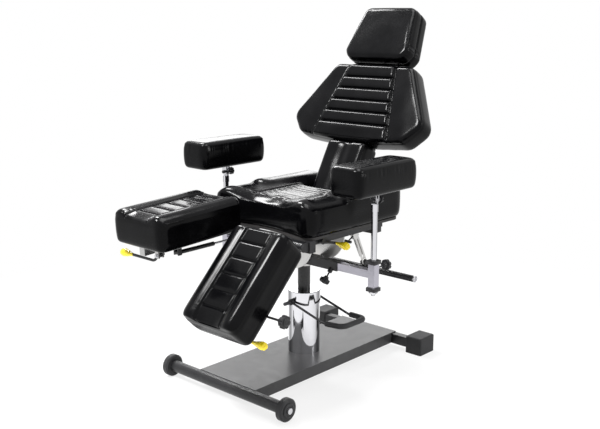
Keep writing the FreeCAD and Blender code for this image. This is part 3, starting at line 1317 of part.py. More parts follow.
def build_sides():
    for word, side, angle, raised in (("left", 1, LEG_ANGLE_LEFT, 0),
                                      ("right", -1, LEG_ANGLE_RIGHT, ARM_RIGHT_RAISED)):
        legs = {"leg_frame": leg_frame(), "leg_slide": leg_slide(), "leg_cushion": leg_cushion(),
                "leg_lever": leg_lever(), "leg_grip": leg_grip(), "leg_knob": leg_knob(),
                "leg_strut": leg_strut(angle), "leg_strut_rod": leg_strut_rod(angle)}
        for name, shape in legs.items():
            PARTS[name + "_" + word] = tipped(side_of(shape, side), angle, LEG_HINGE_Y, LEG_HINGE_Z)
        fixed = {"arm_slide": arm_slide(), "reach_knob": reach_knob(), "post_knob": post_knob()}
        risen = {"arm_post": arm_post(), "arm_eye": arm_eye(), "arm_clevis": arm_clevis(),
                 "arm_pad": arm_pad(), "clevis_knob": clevis_knob()}
        for name, shape in fixed.items():
            PARTS[name + "_" + word] = side_of(shape, side)
        for name, shape in risen.items():
            moved = side_of(shape, side).copy()
            moved.translate(V(0, 0, raised))
            PARTS[name + "_" + word] = moved


def export_all():
    os.makedirs("parts", exist_ok=True)
    for name, shape in PARTS.items():
        placed = shape.copy()
        placed.translate(V(0, COLUMN_Y, 0))
        placed.exportStep("parts/" + name + ".step")


build_base()
build_seat()
build_back()
build_sides()
export_all()
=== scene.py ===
import json
import math
import bpy
import numpy as np
from mathutils import Matrix, Vector


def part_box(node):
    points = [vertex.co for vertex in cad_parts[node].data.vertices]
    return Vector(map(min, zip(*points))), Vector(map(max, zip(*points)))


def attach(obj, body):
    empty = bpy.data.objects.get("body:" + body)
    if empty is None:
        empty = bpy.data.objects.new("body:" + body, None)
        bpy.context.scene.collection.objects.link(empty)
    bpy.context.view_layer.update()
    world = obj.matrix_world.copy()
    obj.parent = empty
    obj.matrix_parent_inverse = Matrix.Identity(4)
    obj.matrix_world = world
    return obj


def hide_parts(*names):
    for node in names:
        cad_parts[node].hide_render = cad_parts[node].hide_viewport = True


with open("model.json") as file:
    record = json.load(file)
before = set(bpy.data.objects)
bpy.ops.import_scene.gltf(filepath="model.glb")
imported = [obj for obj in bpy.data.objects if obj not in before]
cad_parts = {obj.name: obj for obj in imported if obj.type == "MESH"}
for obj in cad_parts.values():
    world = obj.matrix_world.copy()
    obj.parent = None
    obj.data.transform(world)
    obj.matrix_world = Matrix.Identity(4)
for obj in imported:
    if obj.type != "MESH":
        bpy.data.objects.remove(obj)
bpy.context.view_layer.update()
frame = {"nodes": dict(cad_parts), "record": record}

NODES = frame["nodes"]
SIDES = (("left", 1), ("right", -1))

# Metres and degrees. Y and Z of the hinges, with Y from the column, which stands behind the base's middle
COLUMN_Y = 0.0347
LEG_HINGE = (-0.265, 0.575)
BACK_HINGE = (0.230, 0.575)
LEG_TIP = {"left": 45.3, "right": 2.9}
BACK_TIP = -30

# Where each pad's underside lies: on its board, above the hinge or above the floor
LEG_PAD_X = 0.156
LEG_PAD_RISE = 0.030
BACK_PAD_RISE = 0.042
LUMBAR_PAD_RISE = 0.034
HEAD_PAD_RISE = 0.049
SEAT_PAD_Z = 0.600
ARM_X = 0.382
ARM_PAD_Y = -0.057
ARM_PAD_Z = 0.763
ARM_RAISED = {"left": 0.0, "right": 0.013}


# Working on one object at a time

def only(obj):
    """Selects one object alone, so that an operator acts on nothing else."""
    bpy.ops.object.select_all(action="DESELECT")
    obj.select_set(True)
    bpy.context.view_layer.objects.active = obj


def apply_modifier(obj, kind, **settings):
    """Adds a modifier with its settings and applies it at once."""
    modifier = obj.modifiers.new(kind.title(), kind)
    for key, value in settings.items():
        setattr(modifier, key, value)
    only(obj)
    bpy.ops.object.modifier_apply(modifier=modifier.name)


def soft_step(low, high, value):
    """Smooth rise from nought at low to one at high, or a fall where low is the larger."""
    t = np.clip((value - low) / (high - low), 0.0, 1.0)
    return t * t * (3 - 2 * t)


def bump_at(distance, width):
    """A bell of height one round zero distance."""
    return np.exp(-(distance / width) ** 2)


def place_of(x, y, z, tip=0.0, rise=0.0, stood=False):
    """Matrix from a piece's own frame to the chair: tipped about X at a hinge, then raised off its board."""
    place = Matrix.Translation((x, y + COLUMN_Y, z)) @ Matrix.Rotation(math.radians(tip), 4, "X")
    if stood:
        return place @ Matrix.Translation((0, -rise, 0)) @ Matrix.Rotation(math.radians(90), 4, "X")
    return place @ Matrix.Translation((0, 0, rise))


LEG_FRAME = {w: place_of(0, *LEG_HINGE, LEG_TIP[w]) for w, s in SIDES}
LEG_PLACE = {w: place_of(s * LEG_PAD_X, *LEG_HINGE, LEG_TIP[w], LEG_PAD_RISE) for w, s in SIDES}
ARM_PLACE = {w: place_of(s * ARM_X, ARM_PAD_Y, ARM_PAD_Z + ARM_RAISED[w]) for w, s in SIDES}
SEAT_PLACE = place_of(0, 0, SEAT_PAD_Z)
BACK_UPRIGHT = place_of(0, *BACK_HINGE, BACK_TIP)
BACK_PLACE = place_of(0, *BACK_HINGE, BACK_TIP, BACK_PAD_RISE, stood=True)
LUMBAR_PLACE = place_of(0, *BACK_HINGE, BACK_TIP, LUMBAR_PAD_RISE, stood=True)
HEAD_PLACE = place_of(0, *BACK_HINGE, BACK_TIP, HEAD_PAD_RISE, stood=True)


# Finishes

COAT_ROUGHNESS = 0.1
GRAIN_DEPTH = 0.0002
FRAME_SMOOTH = 32


def new_finish(name, colour, roughness, metallic=0.0, specular=0.5, coat=0.0):
    """A material and its shader, with the values that are the same all over."""
    finish = bpy.data.materials.new(name)
    finish.use_nodes = True
    shader = finish.node_tree.nodes["Principled BSDF"]
    shader.inputs["Base Color"].default_value = (*colour, 1)
    shader.inputs["Roughness"].default_value = roughness
    shader.inputs["Metallic"].default_value = metallic
    shader.inputs["Specular IOR Level"].default_value = specular
    shader.inputs["Coat Weight"].default_value = coat
    shader.inputs["Coat Roughness"].default_value = COAT_ROUGHNESS
    return finish, shader


def add_noise(tree, scale, detail=3.0, rough=0.5, stretch=None):
    """Noise on the piece's own place, with an optional stretch along an axis."""
    coords = tree.nodes.new("ShaderNodeTexCoord")
    noise = tree.nodes.new("ShaderNodeTexNoise")
    noise.inputs["Scale"].default_value = scale
    noise.inputs["Detail"].default_value = detail
    noise.inputs["Roughness"].default_value = rough
    source = coords.outputs["Object"]
    if stretch:
        mapping = tree.nodes.new("ShaderNodeMapping")
        mapping.inputs["Scale"].default_value = stretch
        tree.links.new(source, mapping.inputs["Vector"])
        source = mapping.outputs["Vector"]
    tree.links.new(source, noise.inputs["Vector"])
    return noise.outputs["Fac"]


def add_ramp(tree, source, stops):
    """Turns a value into greys or colours through stops of place and colour."""
    ramp = tree.nodes.new("ShaderNodeValToRGB")
    elements = ramp.color_ramp.elements
    while len(elements) < len(stops):
        elements.new(0.5)
    for element, (at, colour) in zip(elements, stops):
        element.position = at
        element.color = (*colour, 1) if len(colour) == 3 else (*[colour[0]] * 3, 1)
    tree.links.new(source, ramp.inputs["Fac"])
    return ramp.outputs["Color"]


def add_bump(tree, shader, height, strength, depth):
    """Adds relief to the shader, over any that it has already."""
    bump = tree.nodes.new("ShaderNodeBump")
    bump.inputs["Strength"].default_value = strength
    bump.inputs["Distance"].default_value = depth
    tree.links.new(height, bump.inputs["Height"])
    before = shader.inputs["Normal"].links
    if before:
        tree.links.new(before[0].from_socket, bump.inputs["Normal"])
    tree.links.new(bump.outputs["Normal"], shader.inputs["Normal"])


def make_vinyl():
    """Glossy black upholstery: faint slack and a fine pebbled grain, with a polish that varies."""
    finish, shader = new_finish("black_vinyl", (0.002, 0.002, 0.0024), 0.18, specular=0.11)
    tree = finish.node_tree
    add_bump(tree, shader, add_noise(tree, 16.0, 2.0), 0.10, 0.0040)
    grain = tree.nodes.new("ShaderNodeTexVoronoi")
    grain.inputs["Scale"].default_value = 700.0
    coords = tree.nodes.new("ShaderNodeTexCoord")
    tree.links.new(coords.outputs["Object"], grain.inputs["Vector"])
    add_bump(tree, shader, grain.outputs["Distance"], 0.09, 0.0004)
    polish = add_ramp(tree, add_noise(tree, 9.0, 4.0, 0.6), [(0.30, (0.14,)), (0.72, (0.22,))])
    tree.links.new(polish, shader.inputs["Roughness"])
    tone = add_ramp(tree, add_noise(tree, 14.0, 3.0),
                    [(0.3, (0.0009, 0.0009, 0.0012)), (0.8, (0.0024, 0.0024, 0.0028))])
    tree.links.new(tone, shader.inputs["Base Color"])
    return finish


def make_speckled(name, dark, light, roughness, scale, metallic=0.0, specular=0.5, strength=0.2, spread=0.08,
                  coat=0.0):
    """A finish whose tone, polish and surface vary finely, as powder coat, enamel and moulding do."""
    finish, shader = new_finish(name, dark, roughness, metallic, specular, coat)
    tree = finish.node_tree
    fine = add_noise(tree, scale, 4.0, 0.6)
    broad = add_noise(tree, scale / 30, 3.0)
    tree.links.new(add_ramp(tree, broad, [(0.3, dark), (0.75, light)]), shader.inputs["Base Color"])
    low, high = roughness - spread, roughness + spread
    tree.links.new(add_ramp(tree, broad, [(0.25, (low,)), (0.8, (high,))]), shader.inputs["Roughness"])
    add_bump(tree, shader, fine, strength, GRAIN_DEPTH)
    return finish


def make_brushed(name, dark, light, roughness, stretch):
    """Metal with fine drawing marks along one way."""
    finish, shader = new_finish(name, light, roughness, 1.0)
    tree = finish.node_tree
    marks = add_noise(tree, 60.0, 4.0, 0.7, stretch)
    tree.links.new(add_ramp(tree, marks, [(0.25, dark), (0.75, light)]), shader.inputs["Base Color"])
    tree.links.new(add_ramp(tree, marks, [(0.2, (roughness - 0.07,)), (0.8, (roughness + 0.09,))]),
                   shader.inputs["Roughness"])
    add_bump(tree, shader, marks, 0.12, GRAIN_DEPTH)
    return finish


def make_chrome():
    """Bright chrome with painted reflections in its colour: lighter where it faces or grazes the eye, and
    darker between, as a pale room would reflect.
    """
    finish, shader = new_finish("polished_chrome", (0.78, 0.78, 0.80), 0.06, 1.0)
    tree = finish.node_tree
    haze = add_noise(tree, 40.0, 4.0)
    # painted reflection: base colour set by the facing angle, light head-on and at grazing angles and dark
    # bands between
    turned = tree.nodes.new("ShaderNodeLayerWeight").outputs["Facing"]
    painted_reflection_bands = add_ramp(tree, turned, [(0.0, (0.80,)), (0.30, (0.74,)), (0.46, (0.30,)), (0.60, (0.20,)),
                                    (0.74, (0.66,)), (1.0, (0.86,))])
    tree.links.new(add_ramp(tree, haze, [(0.3, (0.035,)), (0.8, (0.11,))]), shader.inputs["Roughness"])
    tint = add_ramp(tree, haze, [(0.2, (0.90, 0.90, 0.94)), (0.8, (0.97, 0.97, 1.0))])
    mix = tree.nodes.new("ShaderNodeMix")
    mix.data_type, mix.blend_type = "RGBA", "MULTIPLY"
    mix.inputs["Factor"].default_value = 1.0
    tree.links.new(painted_reflection_bands, mix.inputs["A"])
    tree.links.new(tint, mix.inputs["B"])
    tree.links.new(mix.outputs["Result"], shader.inputs["Base Color"])
    return finish


VINYL = make_vinyl()
CHROME = make_chrome()
BASE_COAT = make_speckled("base_powder_coat", (0.042, 0.042, 0.044), (0.056, 0.056, 0.058), 0.35, 900.0,
                          spread=0.05, specular=0.33)
FRAME_BLACK = make_speckled("frame_enamel", (0.012, 0.012, 0.013), (0.022, 0.022, 0.024), 0.36, 700.0,
                            specular=0.35)
COLUMN_BLACK = make_speckled("column_black", (0.010, 0.010, 0.010), (0.022, 0.022, 0.023), 0.32, 500.0)
WHEEL_PLASTIC = make_speckled("wheel_plastic", (0.014, 0.014, 0.015), (0.026, 0.026, 0.028), 0.44, 800.0,
                              specular=0.28)
KNOB_PLASTIC = make_speckled("knob_plastic", (0.012, 0.012, 0.013), (0.024, 0.024, 0.026), 0.38, 800.0,
                             specular=0.32)
FOOT_RUBBER = make_speckled("foot_rubber", (0.014, 0.014, 0.015), (0.028, 0.028, 0.030), 0.55, 600.0,
                            specular=0.28, strength=0.35)
BOARD_BLACK = make_speckled("stained_board", (0.016, 0.015, 0.015), (0.034, 0.032, 0.031), 0.7, 500.0,
                            strength=0.4)
GRIP_YELLOW = make_speckled("grip_yellow", (0.80, 0.60, 0.012), (0.90, 0.72, 0.020), 0.24, 300.0,
                            spread=0.04, strength=0.05, coat=0.3)
ZINC = make_speckled("zinc_plate", (0.50, 0.50, 0.50), (0.66, 0.65, 0.63), 0.30, 240.0, metallic=1.0)
STEEL = make_brushed("bright_steel", (0.52, 0.52, 0.54), (0.68, 0.68, 0.70), 0.24, (1, 1, 9))
ANODISED = make_brushed("anodised_tube", (0.42, 0.41, 0.46), (0.54, 0.53, 0.59), 0.34, (1, 12, 12))
PUMP_STEEL = make_speckled("pump_steel", (0.05, 0.05, 0.055), (0.08, 0.08, 0.085), 0.4, 300.0, metallic=0.7)

SLOT_FINISH = {
    "base_coat": BASE_COAT, "frame_black": FRAME_BLACK, "wheel_plastic": WHEEL_PLASTIC,
    "foot_rubber": FOOT_RUBBER, "bolt_steel": STEEL, "pump_steel": PUMP_STEEL, "cover_chrome": CHROME,
    "column_black": COLUMN_BLACK, "bracket_zinc": ZINC, "board_wood": BOARD_BLACK, "vinyl": VINYL,
    "grip_yellow": GRIP_YELLOW, "knob_black": KNOB_PLASTIC, "tube_anodised": ANODISED, "post_chrome": CHROME,
}


def dress_frame():
    """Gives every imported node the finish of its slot."""
    for entry in frame["record"]["subparts"]:
        node = NODES[entry["node"]]
        node.data.materials.clear()
        node.data.materials.append(SLOT_FINISH[entry["material_slot"]])
        only(node)
        bpy.ops.object.shade_smooth_by_angle(angle=math.radians(FRAME_SMOOTH))


# Padded pieces. Each is shaped in its own flat frame: X across, Y along, Z up from its board

CLOTH_FULLNESS = 0.0014
WELT_RISE = 0.0008
WELT_DRAW = 0.0006


def pad_blank(name, node, place, voxel, rounds):
    """Copy of a pad's solid in its own flat frame, remeshed evenly, its edges softened in so many rounds."""
    mesh = NODES[node].data.copy()
    mesh.transform(place.inverted())
    pad = bpy.data.objects.new(name, mesh)
    bpy.context.scene.collection.objects.link(pad)
    only(pad)
    bpy.ops.object.mode_set(mode="EDIT")
    bpy.ops.mesh.select_all(action="SELECT")
    bpy.ops.mesh.remove_doubles(threshold=0.00002)
    bpy.ops.object.mode_set(mode="OBJECT")
    apply_modifier(pad, "REMESH", mode="VOXEL", voxel_size=voxel)
    apply_modifier(pad, "SMOOTH", factor=0.5, iterations=rounds)
    return pad


def read_points(pad):
    """The pad's points, one row each."""
    points = np.empty(len(pad.data.vertices) * 3, np.float32)
    pad.data.vertices.foreach_get("co", points)
    return points.reshape(-1, 3).astype(np.float64)


def read_normals(pad):
    """The way that the surface faces at each point."""
    normals = np.empty(len(pad.data.vertices) * 3, np.float32)
    pad.data.vertex_normals.foreach_get("vector", normals)
    return normals.reshape(-1, 3).astype(np.float64)


def write_points(pad, points):
    """Moves the pad's points to new places."""
    pad.data.vertices.foreach_set("co", points.astype(np.float32).ravel())
    pad.data.update()


def level_top(pad, thick, inside):
    """Fills the panel of the top face up to one level, so that its own seams can be drawn in."""
    points = read_points(pad)
    chosen = inside(np.abs(points[:, 0]), points[:, 1]) & (points[:, 2] > 0.8 * thick)
    points[chosen, 2] = thick
    write_points(pad, points)


def sew_edge(points, normals, thick):
    """How far the cloth stands out: full, with a fine raised seam round the top and a shallow draw below."""
    high = soft_step(0.70 * thick, 0.84 * thick, points[:, 2])
    welt = bump_at(normals[:, 2] - 0.50, 0.16) * high
    draw = bump_at(normals[:, 2] - 0.18, 0.12) * high
    return CLOTH_FULLNESS + WELT_RISE * welt - WELT_DRAW * draw


def sewn_points(pad, thick):
    """Divides the pad's mesh once and sews its edge, and gives the points and normals to shape further."""
    apply_modifier(pad, "SUBSURF", levels=1, render_levels=1)
    points, normals = read_points(pad), read_normals(pad)
    points += normals * sew_edge(points, normals, thick)[:, None]
    return points, normals


def slack(across, along, height, seed):
    """Faint unevenness of stretched cloth over foam, the same each run."""
    total = 0.0
    for turn, wave, share in ((0.4, 31.0, 0.5), (2.1, 47.0, 0.3), (4.0, 71.0, 0.2)):
        ahead = across * math.cos(turn) + along * math.sin(turn)
        aside = along * math.cos(turn) - across * math.sin(turn)
        total = total + share * np.sin(wave * ahead + seed + 9 * height)
        total = total + share * np.sin(wave * 0.8 * aside + seed * 2)
    return total


def finish_pad(pad, node, body, place):
    """Sets the shaped pad in its place on the chair, in place of its solid."""
    pad.data.transform(place)
    pad.data.materials.clear()
    pad.data.materials.append(VINYL)
    only(pad)
    bpy.ops.object.shade_smooth()
    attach(pad, body)
    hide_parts(node)


def gathers(position, spacing, seed):
    """Small folds where cloth is drawn into a seam, uneven in pitch and depth."""
    turn = 2 * np.pi * position / spacing
    warped = position / spacing + 0.30 * np.sin(turn / 3.7 + seed) + 0.16 * np.sin(turn / 1.9 + 2 * seed)
    depth = np.clip(0.50 + 0.50 * np.sin(turn / 5.3 + 3 * seed), 0.0, 1.0)
    return depth * np.sin(np.pi * warped) ** 2


def on_top(points, normals, thick):
    """One on the top face, fading out down the sides."""
    return soft_step(0.62 * thick, 0.93 * thick, points[:, 2]) * soft_step(0.15, 0.6, normals[:, 2])


def add_seam_panel(across, along, half, seam_ups, low, high, deep, width):
    """Depth of two long seams at a given half width and the cross seams between them, from low to high."""
    inside = soft_step(half + 0.002, half - 0.004, np.abs(across))
    reach = soft_step(low - 0.004, low + 0.004, along) * soft_step(high + 0.004, high - 0.004, along)
    depth = -deep * bump_at(np.abs(across) - half, 1.4 * width) * reach
    for up in seam_ups:
        depth -= deep * bump_at(along - up, width) * inside
    return depth


def pillow_rows(along, seams, first, last, rise):
    """Rise of the padding between cross seams: full rows that turn down steeply at each seam."""
    edges = [first] + list(seams) + [last]
    total = np.zeros_like(along)
    for low, high in zip(edges[:-1], edges[1:]):
        t = np.clip((along - low) / (high - low), 0.0, 1.0)
        total = np.where((along >= low) & (along <= high), rise * (1 - np.abs(2 * t - 1) ** 4), total)
    return total


def make_leg_pad(word, side):
    """Leg rest: two rolled bolsters, a hollow ribbed panel between long seams, a dipped foot edge."""
    thick, length, half, rows = 0.112, 0.3825, 0.060, 6
    place = LEG_PLACE[word]
    pad = pad_blank("leg_pad_" + word, "leg_cushion_" + word, place, voxel=0.0045, rounds=22)
    level_top(pad, thick, lambda across, along: (across < 0.072) & (along > -0.406) & (along < -0.044))
    points, normals = sewn_points(pad, thick)
    across, along = points[:, 0], points[:, 1] + 0.032 + length
    top = on_top(points, normals, thick)
    # bolsters that roll off outward, and the panel sunk between them
    lift = 0.009 * bump_at(np.abs(across) - 0.094, 0.028)
    lift -= 0.005 * soft_step(0.104, 0.134, np.abs(across))
    lift -= 0.004 * soft_step(0.068, 0.052, np.abs(across))
    # rows and seams
    seams = [length * (1 - (k + 1) / rows) for k in range(rows - 1)]
    panel = soft_step(half + 0.001, half - 0.006, np.abs(across))
    lift += pillow_rows(along, sorted(seams), 0.0, length, 0.0038) * panel
    lift += add_seam_panel(across, along, half, seams, 0.0, length, 0.0042, 0.0026)
    # dip and gathers at the foot edge
    lift -= 0.013 * soft_step(0.060, 0.0, along) * soft_step(0.095, 0.02, np.abs(across))
    gather = gathers(along, 0.014, side) * bump_at(np.abs(across) - half - 0.009, 0.009)
    lift -= 0.0010 * gather * soft_step(0.10, 0.0, along)
    lift += 0.0004 * slack(across, along, points[:, 2], 1.0 + side)
    points[:, 2] += lift * top
    # long sides pulled in between their edges
    side_face = soft_step(0.5, 0.9, np.abs(normals[:, 0])) * soft_step(0.01, 0.03, points[:, 2])
    hollow = np.sin(np.pi * np.clip(points[:, 2] / (0.9 * thick), 0, 1))
    points[:, 0] -= normals[:, 0] * 0.003 * hollow * side_face
    write_points(pad, points)
    finish_pad(pad, "leg_cushion_" + word, "leg_slide_" + word, place)


def make_seat_pad():
    """Seat: raised side bolsters that grow into rear wings, a close ribbed panel, a dipped front edge."""
    thick, half, first_seam, pitch = 0.112, 0.105, -0.1375, 0.0275
    pad = pad_blank("seat_pad", "seat_cushion", SEAT_PLACE, voxel=0.0056, rounds=46)
    level_top(pad, thick, lambda across, along: (across < 0.118) & (along > -0.185) & (along < 0.094))
    points, normals = sewn_points(pad, thick)
    across, along = points[:, 0], points[:, 1]
    top = on_top(points, normals, thick)
    # bolsters, lower on the wings, which roll off outward and rearward
    wings = soft_step(-0.08, 0.02, along)
    lift = 0.012 * bump_at(np.abs(across) - 0.185, 0.048) * (1 - 0.7 * wings)
    lift -= (0.007 + 0.019 * wings) * soft_step(0.205, 0.262, np.abs(across))
    lift -= 0.018 * soft_step(along.max() - 0.055, along.max(), along)
    # sunk panel with its rows and seams
    lift -= 0.010 * soft_step(0.135, 0.060, np.abs(across))
    seams = [first_seam + pitch * k for k in range(9)]
    panel = soft_step(half + 0.001, half - 0.008, np.abs(across))
    lift += pillow_rows(along, seams, -0.165, 0.11, 0.0014) * panel
    lift += add_seam_panel(across, along, half, seams, -0.175, 0.1, 0.0034, 0.0026)
    # front edge, bowed forward at its middle: a dip, a lip at each corner, one long fold and short creases
    front = -0.205 - 0.057 * np.abs(across) / 0.250
    from_front = along - front
    lift -= 0.012 * soft_step(0.075, 0.0, from_front) * soft_step(0.19, 0.05, np.abs(across))
    lift += 0.006 * bump_at(from_front - 0.046, 0.024) * soft_step(0.23, 0.19, np.abs(across))
    fold = bump_at(from_front - 0.078 - 0.007 * np.sin(across * 55 + 1.0), 0.007)
    lift -= 0.0040 * fold * soft_step(0.19, 0.10, np.abs(across))
    crease = gathers(across, 0.026, 2.0) * bump_at(from_front - 0.060, 0.022)
    lift -= 0.0022 * crease * soft_step(0.20, 0.12, np.abs(across))
    lift += 0.0006 * slack(across, along, points[:, 2], 3.0)
    points[:, 2] += lift * top
    write_points(pad, points)
    finish_pad(pad, "seat_cushion", "swivel", SEAT_PLACE)


def make_back_pad():
    """Backrest: a raised panel of rows between converging seams, and two broad wings."""
    thick, low, high, low_half, high_half = 0.090, 0.275, 0.612, 0.190, 0.112
    pad = pad_blank("back_pad", "back_cushion", BACK_PLACE, voxel=0.0050, rounds=28)
    level_top(pad, thick,
              lambda across, along: (across < 0.262 - 0.2315 * along) & (along > 0.288) & (along < 0.598))
    points, normals = sewn_points(pad, thick)
    across, along = points[:, 0], points[:, 1]
    top = on_top(points, normals, thick)
    # panel of rows between the seams, which come together upward
    half = low_half + (high_half - low_half) * (along - low) / 0.337
    seams = [0.347 + 0.051 * k for k in range(5)]
    inside = soft_step(half + 0.004, half - 0.004, np.abs(across))
    lift = 0.004 * inside
    lift += pillow_rows(along, seams, low, high, 0.0065) * inside
    lift += add_seam_panel(across, along, half, seams, low, high, 0.0060, 0.0040)
    # full wings, a dip at the lower edge and the folds that fan out from it
    lift += 0.003 * bump_at(np.abs(across) - half - 0.060, 0.050)
    lift -= 0.008 * soft_step(0.330, 0.285, along) * soft_step(0.14, 0.04, np.abs(across))
    fan = gathers(across - along * 0.4 * np.sign(across), 0.016, 1.0)
    lift -= 0.0020 * fan * bump_at(along - 0.296, 0.018) * bump_at(np.abs(across) - 0.190, 0.050)
    lift += 0.0005 * slack(across, along, points[:, 2], 5.0)
    points[:, 2] += lift * top
    write_points(pad, points)
    finish_pad(pad, "back_cushion", "back", BACK_PLACE)


def make_lumbar_pad():
    """Lower back: a narrow plain pad, faintly hollow down its middle."""
    thick = 0.098
    pad = pad_blank("lumbar_stem", "lumbar_pad", LUMBAR_PLACE, voxel=0.0050, rounds=24)
    points, normals = sewn_points(pad, thick)
    top = on_top(points, normals, thick)
    across, along = points[:, 0], points[:, 1]
    lift = -0.006 * soft_step(0.04, 0.0, np.abs(across)) + 0.0010 * slack(across, along, points[:, 2], 7.0)
    points[:, 2] += lift * top
    write_points(pad, points)
    finish_pad(pad, "lumbar_pad", "back", LUMBAR_PLACE)


def make_head_pad():
    """Headrest: smooth front, two layers round the side, pleats at the lower corners."""
    thick = 0.108
    pad = pad_blank("head_pad", "head_cushion", HEAD_PLACE, voxel=0.0045, rounds=22)
    points, normals = sewn_points(pad, thick)
    across, along, height = points[:, 0], points[:, 1], points[:, 2]
    # the seam between the two layers, and the pleats, drawn into the sides
    walls = soft_step(0.75, 0.35, np.abs(normals[:, 2]))
    waist = bump_at(height - 0.052, 0.0045) * walls
    folds = gathers(along, 0.012, 0.6) * bump_at(along - 0.672, 0.024) * soft_step(0.10, 0.13, np.abs(across))
    inward = 0.0050 * waist + 0.0045 * folds * walls * soft_step(0.02, 0.04, height)
    points -= normals * inward[:, None]
    # crowned front
    top = on_top(points, normals, thick)
    reach = np.hypot(across / 0.150, (along - 0.746) / 0.120)
    crown = 0.004 * (1 - np.clip(reach, 0.0, 1.0) ** 2)
    points[:, 2] += top * (0.0004 * slack(across, along, height, 9.0) + crown)
    write_points(pad, points)
    finish_pad(pad, "head_cushion", "headrest", HEAD_PLACE)


def make_arm_pad(word, side):
    """Armrest pad: a plain block with a crisp sewn edge round its top and small puckers below it."""
    thick = 0.105
    place = ARM_PLACE[word]
    pad = pad_blank("arm_pad_" + word + "_cover", "arm_pad_" + word, place, voxel=0.0045, rounds=28)
    points, normals = sewn_points(pad, thick)
    across, along, height = points[:, 0], points[:, 1], points[:, 2]
    # full sides with their puckers
    walls = soft_step(0.85, 0.4, np.abs(normals[:, 2]))
    pucker = gathers(across + 1.3 * along, 0.024, 1.4 + side) * bump_at(height - 0.080, 0.014)
    belly = np.sin(np.pi * np.clip(height / thick, 0.0, 1.0))
    points += normals * ((0.0020 * belly - 0.0009 * pucker) * walls)[:, None]
    # crowned top
    top = on_top(points, normals, thick)
    crown = 0.003 * (1 - (across / 0.067) ** 2) * (1 - (along / 0.169) ** 4)
    points[:, 2] += top * (0.0005 * slack(across, along, height, 11.0 + side) + crown)
    write_points(pad, points)
    finish_pad(pad, "arm_pad_" + word, "arm_rest_" + word, place)


# Small fittings, modelled in place

ARM_Y = -0.052 + COLUMN_Y
SOCKET_ENDS = (("top", 0.5065), ("bottom", 0.4055))
COLLAR_SIZE = (0.0385, 0.0385, 0.0142)
POST_NUT_Z = 0.3950
POST_NUT_RADIUS = 0.0168
POST_NUT_HEIGHT = 0.0075
CROSS_BAR_Y = 0.300 + COLUMN_Y
CROSS_BAR_Z = 0.352
CROSS_BAR_END = 0.3158
CROSS_BAR_RADIUS = 0.0134
RECEIVER_X = 0.195
RECEIVER_Z = 0.461
REACH_KNOB_OUT = 0.017
BACK_SCREWS = ((0.20, 0.40), (0.13, 0.53), (0.10, 0.33))
BACK_BOARD_REAR = -0.0335
LEVER_PIN_ENDS = (("foot", -0.3886, -1), ("rear", -0.3634, 1))
REARWARD = Vector((0, 1, 0))
FITTING_SMOOTH = 35


def pick_faces(part, wanted):
    """Selects the faces that a test picks, and stays in edit mode."""
    only(part)
    bpy.ops.object.mode_set(mode="EDIT")
    bpy.ops.mesh.select_mode(type="FACE")
    bpy.ops.mesh.select_all(action="DESELECT")
    bpy.ops.object.mode_set(mode="OBJECT")
    for face in part.data.polygons:
        face.select = wanted(face)
    bpy.ops.object.mode_set(mode="EDIT")


def end_fitting(part, name, finish, body, edge):
    """Softens the edges, gives the finish and hangs the fitting on its body."""
    bpy.ops.object.mode_set(mode="OBJECT")
    part.name = name
    if edge:
        apply_modifier(part, "BEVEL", width=edge, segments=2, limit_method="ANGLE")
    part.data.materials.append(finish)
    only(part)
    bpy.ops.object.shade_smooth_by_angle(angle=math.radians(FITTING_SMOOTH))
    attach(part, body)


def turned_fitting(name, at, out, radius, depth, steps, sides, finish, body, edge=0.0004):
    """Short cylinder facing outward, whose outer face is inset and stepped in or out, a step at a time."""
    bpy.ops.mesh.primitive_cylinder_add(vertices=sides, radius=radius, depth=depth, location=at,
                                        rotation=out.to_track_quat("Z", "Y").to_euler())
    part = bpy.context.active_object
    bpy.ops.object.transform_apply(location=True, rotation=True, scale=True)
    pick_faces(part, lambda face: face.normal.dot(out) > 0.9)
    for inset, rise in steps:
        bpy.ops.mesh.inset(thickness=inset, depth=rise)
    end_fitting(part, name, finish, body, edge)


def hex_bolt(name, at, out, across, body):
    """Hexagon head on a round washer, with the chamfer and dished face of a turned bolt."""
    half = 0.25 * across
    turned_fitting(name + "_washer", at, out, 0.72 * across, 0.0016, [(0.08 * across, 0.0003)], 24, STEEL,
                   body, 0.0002)
    turned_fitting(name, at + out * half, out, across / math.sqrt(3), 2 * half,
                   [(0.06 * across, 0.0006), (0.14 * across, -0.0006)], 6, STEEL, body, 0.0003)


def pan_screw(name, at, out, radius, body):
    """Domed screw head with a round recess."""
    steps = [(0.16 * radius, 0.0008), (0.30 * radius, 0.0005), (0.10 * radius, -0.0014)]
    turned_fitting(name, at, out, radius, 0.0024, steps, 20, STEEL, body, 0.0)


def knob_cap(name, at, out, radius, body):
    """Raised ring and sunk centre on the face of a clamp knob."""
    steps = [(0.10 * radius, 0.0012), (0.12 * radius, -0.0016), (0.10 * radius, 0.0004)]
    turned_fitting(name, at, out, 0.60 * radius, 0.0020, steps, 28, KNOB_PLASTIC, body, 0.0)


def face_middle(node, out):
    """Middle of a node's box on the side that it faces."""
    low, high = (Vector(corner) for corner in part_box(node))
    middle, half = (low + high) / 2, (high - low) / 2
    return middle + Vector([o * h for o, h in zip(out, half)])


def make_wheel_trim(word, side):
    """Stepped hub cap round the wheel's bolt."""
    out = Vector((side, 0, 0))
    outer = face_middle("wheel_" + word, out)
    turned_fitting("hub_cap_" + word, outer, out, 0.026, 0.0020, [(0.003, 0.0012), (0.006, -0.0012)], 40,
                   WHEEL_PLASTIC, "wheel_" + word)


